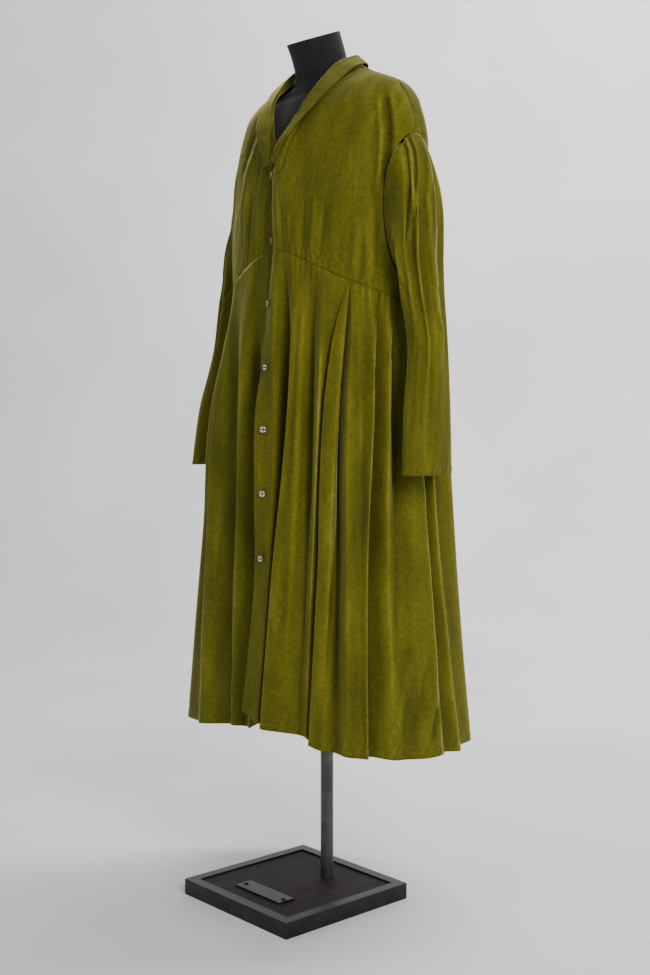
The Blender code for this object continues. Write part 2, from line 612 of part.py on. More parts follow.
def collar_rows():
    """Rows of the whole collar: each runs along the neckline, from the seam out to the edge."""
    seam, roll, edge = (
        np.vstack([line, line[-2::-1] * (-1.0, 1.0, 1.0)]) for line in collar_lines()
    )
    crown = np.array([0.0, 0.0, COLLAR_CROWN])
    stand = [seam + (roll - seam) * share for share in COLLAR_STAND]
    fall = [roll + (edge - roll) * share for share in COLLAR_FALL]
    return np.array([seam, *stand, roll + crown, *fall, edge])


def build_form(finish, collection):
    """Dress form: torso and neck in one closed body with a tilted top."""
    turns = np.radians(np.arange(FORM_COLUMNS) * 360.0 / FORM_COLUMNS)
    rows = []
    for level, half_width, front, back, centre_y, squareness in zip(*FORM.values()):
        reach = oval_reach(turns, half_width, front + centre_y, back - centre_y, squareness)
        rows.append(np.stack([reach * np.sin(turns), centre_y - reach * np.cos(turns),
                              np.full_like(turns, level)], axis=-1))
    slope = math.tan(math.radians(NECK_TILT))
    for row, share in ((rows[-1], 1.0), (rows[-2], 0.4)):
        row[:, 2] += (row[:, 1] - row[:, 1].mean()) * slope * share
    mesh = grid_mesh("dress_form", rows, closed=True)
    shell = bmesh.new()
    shell.from_mesh(mesh)
    bmesh.ops.holes_fill(shell, edges=shell.edges, sides=FORM_COLUMNS)
    bmesh.ops.recalc_face_normals(shell, faces=shell.faces)
    shell.to_mesh(mesh)
    shell.free()
    return add_object("dress_form", mesh, finish, collection)


def box_object(name, size, centre, finish, collection):
    bpy.ops.mesh.primitive_cube_add(size=1.0)
    made = bpy.context.object
    made.name = made.data.name = name
    for vertex in made.data.vertices:
        vertex.co = [c * s + m for c, s, m in zip(vertex.co, size, centre)]
    move_to(made, finish, collection)
    return made


def rod_object(name, radius, low, high, x, y, finish, collection, sides=24):
    bpy.ops.mesh.primitive_cylinder_add(
        vertices=sides, radius=radius, depth=high - low, location=(x, y, (low + high) / 2.0)
    )
    made = bpy.context.object
    made.name = made.data.name = name
    made.data.shade_smooth()
    made.data.set_sharp_from_angle(angle=math.radians(40.0))
    move_to(made, finish, collection)
    return made


def move_to(made, finish, collection):
    for holder in list(made.users_collection):
        holder.objects.unlink(made)
    collection.objects.link(made)
    if finish:
        made.data.materials.append(finish)


def cut_away(body, cutter):
    cutter.hide_render = True
    cutter.display_type = "WIRE"
    cut = body.modifiers.new(cutter.name, "BOOLEAN")
    cut.operation = "DIFFERENCE"
    cut.object = cutter


def build_stand(steel, wood, collection, cutters):
    """Angle-steel frame round a board, with the pole and a bare plate on it."""
    x, y = BASE_CENTRE
    frame = box_object("base_frame", (BASE_SIDE, BASE_SIDE, FRAME_HEIGHT),
                       (x, y, FRAME_HEIGHT / 2.0), steel, collection)
    inside = BASE_SIDE - 2.0 * FRAME_STEEL
    under = FRAME_HEIGHT - FRAME_STEEL
    cut_away(frame, box_object("frame_hollow", (inside, inside, 2.0 * under),
                               (x, y, 0.0), None, cutters))
    window = BASE_SIDE - 2.0 * FRAME_FLANGE
    cut_away(frame, box_object("frame_window", (window, window, 4.0 * FRAME_HEIGHT),
                               (x, y, 0.0), None, cutters))
    board_side = inside - 2.0 * TOUCH_GAP
    board_top = under - TOUCH_GAP
    box_object("base_board", (board_side, board_side, board_top), (x, y, board_top / 2.0),
               wood, collection)
    rod_object("pole", POLE_RADIUS, board_top + TOUCH_GAP, FORM["level"][0] - TOUCH_GAP,
               0.0, 0.0, steel, collection)
    plate_low = board_top + TOUCH_GAP
    plate_top = plate_low + PLATE_SIZE[2]
    box_object("base_plate", PLATE_SIZE, (*PLATE_CENTRE, (plate_low + plate_top) / 2.0),
               steel, collection)
    for number, side in ((1, -0.5), (2, 0.5)):
        rod_object(f"plate_screw_{number}", SCREW_RADIUS, plate_top + TOUCH_GAP,
                   plate_top + TOUCH_GAP + SCREW_HEAD,
                   PLATE_CENTRE[0] + side * PLATE_SCREW_SPACING, PLATE_CENTRE[1],
                   steel, collection, sides=16)


def build_skirt(velvet, collection):
    folds = skirt_folds()
    names = [row[0] for row in folds]
    rows = skirt_rows(folds, SKIRT_LEVELS, SKIRT_STEPS)
    left_seam = names.index("side seam") * SKIRT_STEPS
    right_seam = (len(folds) - 1 - RIGHT_SIDE_SEAM) * SKIRT_STEPS
    half = SEAM_GAP / 2.0
    panels = (("skirt_front_left", 0, left_seam, 0.0, half),
              ("skirt_back", left_seam, right_seam, half, half),
              ("skirt_front_right", right_seam, rows.shape[1] - 1, half, 0.0))
    for name, first, last, left, right in panels:
        panel = drawn_in(rows[:, first:last + 1], high=WAIST_GAP / 2.0, left=left, right=right)
        cloth_piece(name, panel, velvet, collection)


def build_bodice(velvet, collection):
    levels = bodice_levels()
    reach = armhole_reach(levels)
    half = SEAM_GAP / 2.0
    left = bodice_rows(front_start(levels), SIDE_ANGLE - reach, FRONT_COLUMNS)
    right = bodice_rows(reach - SIDE_ANGLE, -front_start(levels), FRONT_COLUMNS)
    back = bodice_rows(SIDE_ANGLE + reach, 360.0 - SIDE_ANGLE - reach, BACK_COLUMNS)
    low = WAIST_GAP / 2.0
    cloth_piece("bodice_front_left", drawn_in(left, low=low, right=half), velvet, collection)
    cloth_piece("bodice_front_right", drawn_in(right, low=low, left=half), velvet, collection)
    cloth_piece("bodice_back", drawn_in(back, low=low, left=half, right=half), velvet,
                collection)


def build_closure(velvet, pearl, collection):
    left = band_rows(FOLDS_LEFT[0], left_turn, -1)
    right = band_rows(FOLDS_RIGHT[-1], right_turn, 1)
    cloth_piece("band_left", left, velvet, collection)
    cloth_piece("band_right", right, velvet, collection)
    middle = left[:, BAND_COLUMNS // 2]
    across = left[:, BAND_COLUMNS // 2 + 1] - left[:, BAND_COLUMNS // 2 - 1]
    for number, level in enumerate(BUTTON_LEVELS, start=1):
        place = np.array([np.interp(level, middle[:, 2], middle[:, k]) for k in range(3)])
        run = np.array([np.interp(level, middle[:, 2], across[:, k]) for k in range(3)])
        facing = np.array([run[1], -run[0], 0.0]) / math.hypot(run[0], run[1])
        build_button(number, place, facing, pearl, collection)


def main():
    for existing in list(bpy.data.objects):
        bpy.data.objects.remove(existing, do_unlink=True)
    coat = collection_named("velvet_coat")
    cutters = collection_named("cutters")
    velvet = material("olive velvet", (0.130, 0.125, 0.006), 0.85)
    pearl = material("pearl button", (0.60, 0.55, 0.48), 0.30)
    jersey = material("black jersey", (0.013, 0.015, 0.019), 0.80)
    steel = material("black steel", (0.030, 0.031, 0.033), 0.45, 0.9)
    wood = material("dark stained pine", (0.070, 0.048, 0.038), 0.60)
    build_stand(steel, wood, coat, cutters)
    build_form(jersey, coat)
    build_skirt(velvet, coat)
    build_bodice(velvet, coat)
    cloth_piece("sleeve_left", sleeve_rows(1, SLEEVE_STEPS), velvet, coat, closed=True)
    cloth_piece("sleeve_right", sleeve_rows(-1, SLEEVE_STEPS), velvet, coat, closed=True)
    build_closure(velvet, pearl, coat)
    collar = cloth_piece("collar", collar_rows(), velvet, coat)
    collar.modifiers["Cloth wall"].offset = 0.0


main()
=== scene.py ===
# %% [markdown]
# # A velvet coat on a dress form
#
# The coat is about 1.2 m long: a bodice, a gathered skirt, wide sleeves, a rolled collar and a row
# of pearl buttons. It hangs on a black dress form with a pole and a square base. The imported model
# is the frame: it fixes sizes and places, and every piece made here rides on its one body.

# %% Load the frame
import math

import bmesh
import bpy
import numpy as np
from mathutils import Matrix, Vector


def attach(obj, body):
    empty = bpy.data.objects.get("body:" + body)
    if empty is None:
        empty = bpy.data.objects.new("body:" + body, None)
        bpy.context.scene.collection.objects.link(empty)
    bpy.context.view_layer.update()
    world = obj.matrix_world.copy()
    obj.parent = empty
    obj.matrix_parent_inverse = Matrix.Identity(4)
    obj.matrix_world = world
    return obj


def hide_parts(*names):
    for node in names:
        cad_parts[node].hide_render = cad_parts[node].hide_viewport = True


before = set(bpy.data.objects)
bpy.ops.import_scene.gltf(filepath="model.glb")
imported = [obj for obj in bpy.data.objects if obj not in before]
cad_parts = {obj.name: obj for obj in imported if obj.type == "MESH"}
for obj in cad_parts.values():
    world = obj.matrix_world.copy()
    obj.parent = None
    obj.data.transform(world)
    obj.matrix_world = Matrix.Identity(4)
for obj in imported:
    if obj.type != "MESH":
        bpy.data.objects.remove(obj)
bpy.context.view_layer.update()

# %% [markdown]
# ## Small helpers
#
# Colours are written as the hex values that an eyedropper would give, and turned linear by one
# function. One more adds a shader or geometry node with its settings, its values and its links.
# `new_finish` starts a material, `in_scene` adds an object, and `per_metre` turns the size of a
# grain or weave in millimetres into a texture's scale.

# %% Colours, nodes and scales
def linear(hex_value):
    """Linear RGBA of an sRGB hex value such as "6a6410"."""
    parts = [int(hex_value[k:k + 2], 16) / 255.0 for k in (0, 2, 4)]
    return (*[p / 12.92 if p <= 0.04045 else ((p + 0.055) / 1.055) ** 2.4 for p in parts], 1.0)


def add_node(tree, kind, values=None, links=None, **settings):
    """Add a node, set its settings and its sockets' values, and link what feeds it."""
    made = tree.nodes.new(kind)
    for name, value in settings.items():
        setattr(made, name, value)
    for socket, value in (values or {}).items():
        made.inputs[socket].default_value = value
    for socket, source in (links or {}).items():
        tree.links.new(source, made.inputs[socket])
    return made


def new_finish(name, **values):
    """New material, its nodes and its shader. A value is named as its socket, with _ for a space."""
    finish = bpy.data.materials.new(name)
    finish.use_nodes = True
    shader = finish.node_tree.nodes["Principled BSDF"]
    for socket, value in values.items():
        shader.inputs[socket.replace("_", " ")].default_value = value
    return finish, finish.node_tree, shader


def in_scene(name, data):
    """New object with this data, in the scene."""
    made = bpy.data.objects.new(name, data)
    bpy.context.scene.collection.objects.link(made)
    return made


def per_metre(millimetres):
    return 1000.0 / millimetres


def colour_steps(tree, factor, *stops):
    """Colour ramp through (place, hex) stops."""
    ramp = add_node(tree, "ShaderNodeValToRGB", links={"Fac": factor})
    while len(ramp.color_ramp.elements) < len(stops):
        ramp.color_ramp.elements.new(0.5)
    for element, (place, colour) in zip(ramp.color_ramp.elements, stops):
        element.position = place
        element.color = linear(colour)
    return ramp.outputs["Color"]


# %% [markdown]
# ## Camera
#
# The photograph looks at the coat's left front from a little below the waist's height, from about
# 2.6 m away with a normal lens. The camera has no shift, so other views can move it freely.

# %% The photograph's viewpoint
CAMERA_PLACE = Vector((1.9113, -1.7158, 0.9422))
CAMERA_YAW = math.radians(48.17)
CAMERA_PITCH = math.radians(3.618)
looking = Vector((-math.sin(CAMERA_YAW) * math.cos(CAMERA_PITCH),
                  math.cos(CAMERA_YAW) * math.cos(CAMERA_PITCH), -math.sin(CAMERA_PITCH)))
lens = bpy.data.cameras.new("camera")
lens.sensor_fit = "VERTICAL"
lens.sensor_height = 36.0
lens.lens = 50.0
camera = in_scene("camera", lens)
camera.matrix_world = (Matrix.Translation(CAMERA_PLACE)
                       @ looking.to_track_quat("-Z", "Y").to_matrix().to_4x4())
bpy.context.scene.camera = camera
print("camera looks along", [round(x, 3) for x in looking])


# %% [markdown]
# ## Studio
#
# A matt paper floor runs up into a pale wall in one sweep, so no corner shows. One large soft
# light stands to the right of the camera and a weaker one fills the far side. A third hangs over
# the back, a fourth brightens the wall, and the pale world lights what is left. Velvet needs
# this: hard light would only show glitter in its pile.

# %% Floor, wall and lights
def studio_finish(name, colour):
    finish, tree, shader = new_finish(name, Roughness=0.9)
    place = add_node(tree, "ShaderNodeTexCoord")
    cloud = add_node(tree, "ShaderNodeTexNoise", {"Scale": per_metre(600.0), "Detail": 3.0},
                     {"Vector": place.outputs["Object"]})
    tint = colour_steps(tree, cloud.outputs["Fac"], (0.35, colour[0]), (0.65, colour[1]))
    tree.links.new(tint, shader.inputs["Base Color"])
    return finish


def sweep(width=9.0, front=-4.2, back=3.4, height=5.5, bend=1.2):
    """Floor and wall in one curved sheet, turned to face the camera."""
    profile = [(front, 0.0), (back - bend, 0.0)]
    for step in range(1, 13):
        turn = math.radians(90.0 * step / 12)
        profile.append((back - bend + bend * math.sin(turn), bend - bend * math.cos(turn)))
    profile.append((back, height))
    points = [(side * width / 2.0, y, z) for y, z in profile for side in (-1.0, 1.0)]
    faces = [(2 * k, 2 * k + 1, 2 * k + 3, 2 * k + 2) for k in range(len(profile) - 1)]
    mesh = bpy.data.meshes.new("studio_sweep")
    mesh.from_pydata(points, [], faces)
    mesh.materials.append(studio_finish("pale studio paper", ("e2e2e5", "ececee")))
    mesh.shade_smooth()
    made = in_scene("studio_sweep", mesh)
    made.rotation_euler[2] = CAMERA_YAW
    return made


def area_light(name, place, aim, size, power, colour="ffffff"):
    light = bpy.data.lights.new(name, "AREA")
    light.shape = "RECTANGLE"
    light.size, light.size_y = size
    light.energy = power
    light.color = linear(colour)[:3]
    made = in_scene(name, light)
    place, aim = Vector(place), Vector(aim)
    made.matrix_world = (Matrix.Translation(place)
                         @ (aim - place).to_track_quat("-Z", "Y").to_matrix().to_4x4())


sweep()
area_light("key", (2.6, -1.0, 2.0), (0.0, -0.1, 0.8), (1.0, 1.6), 70.0, "fffaf2")
area_light("fill", (-0.6, -3.2, 1.5), (0.0, 0.0, 0.8), (2.0, 2.0), 12.0, "f4f7ff")
area_light("top", (-0.4, 0.6, 3.3), (0.0, 0.0, 0.9), (2.4, 2.4), 6.0)
area_light("wall", (0.6, 1.6, 3.6), (-1.4, 3.4, 1.4), (3.6, 0.8), 200.0)
sky = bpy.data.worlds.new("studio_air")
sky.use_nodes = True
sky.node_tree.nodes["Background"].inputs["Color"].default_value = linear("e4e6ea")
sky.node_tree.nodes["Background"].inputs["Strength"].default_value = 0.42
bpy.context.scene.world = sky
print("studio ready")


# %% [markdown]
# ## Curves through a table
#
# A garment is drafted from a few measured lines. Each table below gives such lines, and these two
# functions read the smooth curve between them: one through values, one through points.

# %% Reading smooth curves
def smooth_curve(stations, values, at):
    """Read, at any places, the smooth curve through values given at rising stations."""
    stations = np.asarray(stations, float)
    values = np.asarray(values, float)
    at = np.clip(np.asarray(at, float), stations[0], stations[-1])
    slopes = np.gradient(values, stations)
    low = np.clip(np.searchsorted(stations, at) - 1, 0, len(stations) - 2)
    width = stations[low + 1] - stations[low]
    t = (at - stations[low]) / width
    rise = t * t * (3.0 - 2.0 * t)
    return (values[low] * (1.0 - rise) + values[low + 1] * rise
            + slopes[low] * t * (1.0 - t) ** 2 * width
            - slopes[low + 1] * t * t * (1.0 - t) * width)


def through_points(points, steps, closed=False):
    """Smooth line through the points, with `steps` spans between each two of them."""
    points = np.asarray(points, float)
    if closed:
        before = np.vstack([points[-1:], points, points[:2]])
    else:
        before = np.vstack([2.0 * points[:1] - points[1:2], points,
                            2.0 * points[-1:] - points[-2:-1]])
    line = []
    for a, b, c, d in zip(before[:-3], before[1:-2], before[2:-1], before[3:]):
        span = np.linalg.norm(c - b) + 1e-9
        pull_b = (c - a) * span / (np.linalg.norm(b - a) + span)
        pull_c = (d - b) * span / (np.linalg.norm(d - c) + span)
        for t in np.arange(steps) / steps:
            rise = t * t * (3.0 - 2.0 * t)
            line.append(b + (c - b) * rise + pull_b * t * (1.0 - t) ** 2
                        - pull_c * t * t * (1.0 - t))
    if not closed:
        line.append(points[-1])
    return np.array(line)


# %% [markdown]
# ## The coat's plain rings
#
# The coat is drafted as ovals, one above the other. An angle of 0 is centre front and 90 the
# wearer's left. A ring hangs lower behind its level, as the waist seam and hem do in the photo.

# %% Rings from the hem to the neck
HEM, WAIST, V_POINT, NECK = 0.355, 1.2165, 1.366, 1.555
RINGS = {
    "level": (0.355, 0.500, 0.660, 0.777, 0.890, 1.000, 1.119, 1.2165, 1.300, 1.366, 1.420,
              1.455, 1.480, 1.497, 1.512, 1.524, 1.538, 1.555),
    "half_width": (0.300, 0.284, 0.268, 0.259, 0.252, 0.242, 0.228, 0.216, 0.216, 0.222, 0.230,
                   0.220, 0.209, 0.197, 0.180, 0.155, 0.119, 0.085),
    "front": (0.188, 0.176, 0.164, 0.156, 0.152, 0.149, 0.143, 0.137, 0.134, 0.128, 0.118,
              0.106, 0.093, 0.081, 0.067, 0.053, 0.036, 0.018),
    "back": (0.222, 0.211, 0.202, 0.195, 0.187, 0.170, 0.146, 0.124, 0.120, 0.118, 0.112,
             0.107, 0.100, 0.094, 0.087, 0.080, 0.070, 0.058),
    "squareness": (2.1, 2.1, 2.1, 2.1, 2.1, 2.1, 2.15, 2.2, 2.2, 2.1, 1.85,
                   1.9, 2.0, 2.0, 2.0, 2.0, 2.0, 2.0),
    "side_drop": (0.028, 0.026, 0.028, 0.034, 0.042, 0.052, 0.066, 0.075, 0.036, 0.010, 0.0,
                  0.0, 0.0, 0.0, 0.0, 0.0, 0.0, 0.0),
    "back_drop": (0.040, 0.036, 0.032, 0.034, 0.042, 0.054, 0.070, 0.080, 0.040, 0.012, 0.0,
                  0.0, 0.0, 0.0, 0.0, 0.0, 0.0, 0.0),
}
LAP, LAP_TURN, LAP_REACH, LAP_TOP = 0.016, 6.0, 22.0, (1.380, 1.470)
HEM_RISE = {
    "angle": (-180.0, -100.0, -60.0, -30.0, -9.0, 9.0, 13.0, 38.0, 41.0, 55.0, 64.0, 80.0, 90.0,
              120.0, 180.0),
    "rise": (0.0, -8.0, -18.0, -14.0, -16.0, 9.0, 3.0, 7.0, -6.0, -8.0, -3.0, 0.0, 7.0, 8.0, 0.0),
}
HEM_RISE_HEIGHT = 0.150


def oval_reach(angle, half_width, front, back, squareness):
    """Distance from an oval's centre to its edge, at angles in radians from the front."""
    across, forward = np.abs(np.sin(angle)), np.cos(angle)
    depth = np.where(forward > 0.0, front, back)
    return ((across / half_width) ** squareness
            + np.abs(forward / depth) ** squareness) ** (-1.0 / squareness)


def ring_point(angle, level, out=0.0):
    """Point of the coat's plain surface, moved out level by `out` metres."""
    angle, level, out = np.broadcast_arrays(
        np.radians(np.asarray(angle, float)), np.asarray(level, float), np.asarray(out, float)
    )
    read = {name: smooth_curve(RINGS["level"], column, level)
            for name, column in RINGS.items() if name != "level"}
    across, forward = np.sin(angle), np.cos(angle)
    side_drop, back_drop = read.pop("side_drop"), read.pop("back_drop")
    reach = oval_reach(angle, **read) + out
    degrees = (np.degrees(angle) + 180.0) % 360.0 - 180.0
    fade = np.clip((LAP_TOP[1] - level) / (LAP_TOP[1] - LAP_TOP[0]), 0.0, 1.0)
    reach = reach + LAP * fade * np.tanh(degrees / LAP_TURN) * np.exp(-(degrees / LAP_REACH) ** 2)
    near_hem = np.clip(1.0 - (level - HEM) / HEM_RISE_HEIGHT, 0.0, 1.0) / 1000.0
    height = (level - side_drop * across**2 - back_drop * ((1.0 - forward) / 2.0) ** 2
              + near_hem * np.interp(degrees, HEM_RISE["angle"], HEM_RISE["rise"]))
    return np.stack([reach * across, -reach * forward, height], axis=-1)


# %% [markdown]
# ## Skirt folds
#
# The skirt falls from its gathers in a few deep folds that the photo shows one by one. Each row of
# the tables is one fold line. It gives the line's angle at five levels from the hem up, and how
# far it stands out or lies in, in millimetres. The back, which the photo doesn't show, is gathered
# evenly with folds that wander a little.

# %% Fold lines
FOLD_LEVELS = (HEM, 0.660, 1.000, 1.120, WAIST)
FOLDS_LEFT = (
    #                       angle: hem, low, hip, high, waist    out: hem, low, hip, high
    ("band seam",               9.0, 12.5, 12.0, 10.0, 10.0,    2, 2, 2, 2),
    ("valley by the band",     11.5, 15.0, 18.5, 18.0, 17.0,  -16, -24, -32, -16),
    ("first ridge",            13.0, 17.0, 25.5, 26.0, 24.5,    8, 10, 10, 5),
    ("first face",             24.0, 27.0, 31.5, 33.0, 33.0,    4, 5, 5, 3),
    ("second valley",          33.0, 35.5, 38.0, 39.0, 40.5,   -6, -14, -24, -12),
    ("pleat fold",             37.5, 40.0, 43.8, 44.8, 46.0,   -2, 2, 6, 3),
    ("under the pleat",        41.0, 44.5, 48.6, 54.5, 59.0,  -14, -16, -16, -8),
    ("pleat edge",             40.0, 43.6, 47.6, 52.6, 59.6,   12, 11, 9, 5),
    ("pleat inner edge",       46.0, 49.5, 54.3, 57.2, 60.0,    8, 8, 7, 3),
    ("pleat gap",              51.0, 53.6, 56.2, 58.7, 60.4,   -8, -22, -38, -22),
    ("flap",                   55.5, 56.3, 57.8, 60.1, 61.0,    6, 10, 9, 4),
    ("flap face",              59.5, 60.5, 63.2, 63.4, 63.5,    8, 7, 4, 2),
    ("flap dip",               61.5, 62.5, 66.0, 66.5, 67.0,    9, 7, -3, -2),
    ("flap edge",              63.0, 64.5, 69.0, 70.6, 71.0,   11, 11, 8, 4),
    ("valley by the flap",     64.6, 66.5, 71.5, 73.2, 74.0,  -10, -20, -24, -12),
    ("side ridge",             72.0, 72.5, 75.5, 77.5, 78.5,    3, 4, 5, 3),
    ("valley under sleeve",    77.0, 78.0, 80.0, 81.0, 82.0,   -5, -10, -20, -12),
    ("side face",              84.0, 84.5, 85.5, 86.0, 86.5,    3, 1, -4, -3),
    ("side seam",              90.5, 90.5, 90.5, 90.5, 90.5,    4, 2, -6, -3),
    ("valley behind the seam", 94.0, 94.0, 94.5, 94.5, 94.5,  -10, -12, -14, -8),
    ("ridge below the cuff",   99.5, 97.0, 98.0, 98.5, 99.0,    6, 4, -4, -2),
    ("valley below the cuff", 106.0, 104.0, 103.5, 104.0, 104.0, -12, -16, -16, -8),
    ("right outline",         117.0, 116.0, 114.0, 113.0, 112.0,  4, 6, 5, 3),
)
FOLDS_RIGHT = (
    ("left outline",          -84.0, -84.0, -82.0, -80.0, -80.0,  10, 7, -2, -3),
    ("outline ridge",         -66.0, -68.0, -68.0, -68.0, -68.0,  34, 35, 30, 12),
    ("outline valley",        -54.0, -60.0, -61.0, -61.0, -61.0,  12, 12, 12, 4),
    ("sweeping ridge",        -40.0, -51.0, -53.0, -53.0, -53.0,  22, 28, 24, 8),
    ("inner valley",          -32.0, -40.0, -44.0, -45.0, -45.0, -20, -20, -12, -4),
    ("near ridge",            -24.0, -29.0, -28.0, -28.0, -27.0,  -6, 2, 8, 4),
    ("broad valley",          -17.0, -19.5, -21.0, -21.0, -20.0, -18, -20, -14, -5),
    ("valley by the band",    -11.5, -13.0, -14.0, -15.0, -15.0,  -9, -9, -8, -2),
    ("band seam",              -8.0, -8.5, -9.0, -9.5, -10.0,  -2, -2, -1, 0),
)
BACK_FOLDS, BACK_FOLD_DEPTH, BACK_FOLD_SEED = 13, 0.0085, 11
RIGHT_SIDE_SEAM = 10


def back_folds():
    """Fold lines of the gathered back, between the two tables."""
    chance = np.random.default_rng(BACK_FOLD_SEED)
    first, last = FOLDS_LEFT[-1][1:6], [angle + 360.0 for angle in FOLDS_RIGHT[0][1:6]]
    lines = 2 * BACK_FOLDS
    rows = []
    for line in range(1, lines):
        share = line / lines
        wander = chance.uniform(-0.22, 0.22, 2)
        angles = [a + (b - a) * (share + (wander[0] if k < 2 else wander[1]) / lines)
                  for k, (a, b) in enumerate(zip(first, last))]
        side = -1.0 if line % 2 else 1.0
        depth = side * BACK_FOLD_DEPTH * 1000.0 * chance.uniform(0.6, 1.25)
        rows.append(("back fold", *angles, depth, depth * chance.uniform(0.7, 1.1),
                     depth * 0.8, depth * 0.45))
    middle = lines // 2 - 1
    rows[middle] = ("centre back", *[180.0] * 5, *rows[middle][6:])
    return rows


FOLDS = [*FOLDS_LEFT, *back_folds(),
         *[(name, *[angle + 360.0 for angle in row[:5]], *row[5:]) for name, *row in FOLDS_RIGHT]]
print(len(FOLDS), "fold lines round the skirt")


def skirt_rows(levels, steps):
    """Rows of points round the skirt, from the hem up."""
    rows = []
    for level in levels:
        angles = [smooth_curve(FOLD_LEVELS, row[1:6], level) for row in FOLDS]
        outs = [smooth_curve(FOLD_LEVELS, (*row[6:], 0.0), level) / 1000.0 for row in FOLDS]
        rows.append(through_points(ring_point(angles, level, outs), steps))
    return np.array(rows)


# %% [markdown]
# ## Cloth from a grid
#
# Every velvet piece is a grid of points, row by row. `pushed` moves a grid along its own normals,
# which is how puckers, creases and seams are pressed into it. `cloth` turns the grid into a mesh
# with real thickness. Its UV map is in metres along the cloth, so the pile's grain runs with the
# threads, and the attribute `ridge` marks how far a fold stands out or sinks in: the velvet paints
# ridges lighter, as worn pile and painted highlight, and valleys darker, as painted shade.

# %% Pressing creases into a grid
def normals_of(rows, closed=False):
    """Outward unit normal at each point of a grid."""
    if closed:
        across = np.roll(rows, -1, axis=1) - np.roll(rows, 1, axis=1)
    else:
        across = np.gradient(rows, axis=1)
    normal = np.cross(across, np.gradient(rows, axis=0))
    return normal / (np.linalg.norm(normal, axis=-1, keepdims=True) + 1e-12)


def pushed(rows, push, closed=False):
    return rows + normals_of(rows, closed) * np.asarray(push)[..., None]


def run_across(rows):
    """Length along the cloth from the first column, at each point of a grid."""
    steps = np.linalg.norm(np.diff(rows, axis=1), axis=-1)
    return np.concatenate([np.zeros((len(rows), 1)), np.cumsum(steps, axis=1)], axis=1)


def run_up(rows):
    """Length up the cloth from the first row, at each point of a grid."""
    steps = np.linalg.norm(np.diff(rows, axis=0), axis=-1)
    return np.concatenate([np.zeros((1, rows.shape[1])), np.cumsum(steps, axis=0)], axis=0)


def ripples(across, up, count, seed, deep=0.0014, width=(0.008, 0.020), long=(0.05, 0.20)):
    """Soft long dents and ridges of uneven length, depth and spacing, leaning a little."""
    chance = np.random.default_rng(seed)
    push = np.zeros(across.shape)
    for _ in range(count):
        middle = chance.uniform(0.0, across.max()), chance.uniform(0.0, up.max())
        lean = chance.normal(0.0, 0.12)
        half, reach = chance.uniform(*width), chance.uniform(*long)
        away = (across - middle[0] - lean * (up - middle[1])) / half
        along = (up - middle[1]) / reach
        push += deep * chance.uniform(-1.0, 1.0) * np.exp(-away**2 - along**2)
    return push


def puckers(along, pitch, seed, wander=0.35):
    """Uneven waves of about this pitch, from -1 to 1, along a gathered or stitched seam."""
    chance = np.random.default_rng(seed)
    knots = np.arange(0.0, along.max() + 4.0 * pitch, pitch)
    phase = np.interp(along, knots, np.pi * (np.arange(len(knots))
                                            + chance.uniform(-wander, wander, len(knots))))
    size = np.interp(along, knots, chance.uniform(0.45, 1.0, len(knots)))
    return np.cos(phase) * size


def creased(place, height, creases):
    """Push of listed creases: each row holds a line of (place, height) points, top first,
    its half width, its depth in mm, and how soon it fades at its two ends."""
    push = np.zeros(np.broadcast(place, height).shape)
    for line, half, deep, fade in creases:
        line = np.array(line, float)[::-1]
        middle = np.interp(height, line[:, 1], line[:, 0])
        away = (place - middle) / half
        ends = (np.clip((height - line[0, 1]) / fade, 0.0, 1.0)
                * np.clip((line[-1, 1] - height) / fade, 0.0, 1.0))
        push = push + deep / 1000.0 * np.exp(-away**2) * ends
    return push


# %% From grid to mesh
def ridge_of(rows, closed=False, reach=2):
    """How far a point stands out of its neighbours along its row, from 0 to 1."""
    if closed:
        before, after = np.roll(rows, reach, axis=1), np.roll(rows, -reach, axis=1)
    else:
        padded = np.pad(rows, ((0, 0), (reach, reach), (0, 0)), mode="edge")
        before, after = padded[:, :-2 * reach], padded[:, 2 * reach:]
    out = ((rows - (before + after) / 2.0) * normals_of(rows, closed)).sum(axis=-1)
    span = np.linalg.norm(after - before, axis=-1) + 1e-9
    return np.clip(out / span * 3.0, -1.0, 1.0)


def cloth(name, rows, finish, chart=None, closed=False, thickness=0.0016, offset=-1.0):
    """Cloth piece whose outer face is the grid, with thickness, UVs in metres and ridge marks."""
    rows = np.asarray(rows, float)
    count, width = rows.shape[:2]
    across, up = chart or (run_across(rows).mean(axis=0), run_up(rows).mean(axis=1)[:, None])
    across, up = np.broadcast_arrays(across, up)
    spans = width if closed else width - 1
    low, left = np.meshgrid(np.arange(count - 1), np.arange(spans), indexing="ij")
    right = (left + 1) % width
    faces = np.stack([low * width + left, low * width + right,
                      (low + 1) * width + right, (low + 1) * width + left],
                     axis=-1).reshape(-1, 4)
    mesh = bpy.data.meshes.new(name)
    mesh.from_pydata(rows.reshape(-1, 3).tolist(), [], faces.tolist())
    laid = mesh.uv_layers.new(name="cloth")
    spots = np.stack([across, up], axis=-1).reshape(-1, 2)[faces]
    if closed:
        wrapped = faces[:, 1] % width == 0
        turn = np.linalg.norm(rows[:, 0] - rows[:, -1], axis=-1).mean()
        spots[wrapped, 1:3, 0] = spots[wrapped, 0:1, 0] + turn
    laid.data.foreach_set("uv", spots.reshape(-1).astype(np.float32))
    mark = mesh.attributes.new("ridge", "FLOAT", "POINT")
    mark.data.foreach_set("value", ridge_of(rows, closed).reshape(-1).astype(np.float32))
    mesh.materials.append(finish)
    mesh.shade_smooth()
    made = in_scene(name, mesh)
    wall = made.modifiers.new("wall", "SOLIDIFY")
    wall.thickness = thickness
    wall.offset = offset
    settled(made)
    print(name, "triangles:", sum(len(face.vertices) - 2 for face in made.data.polygons))
    return made


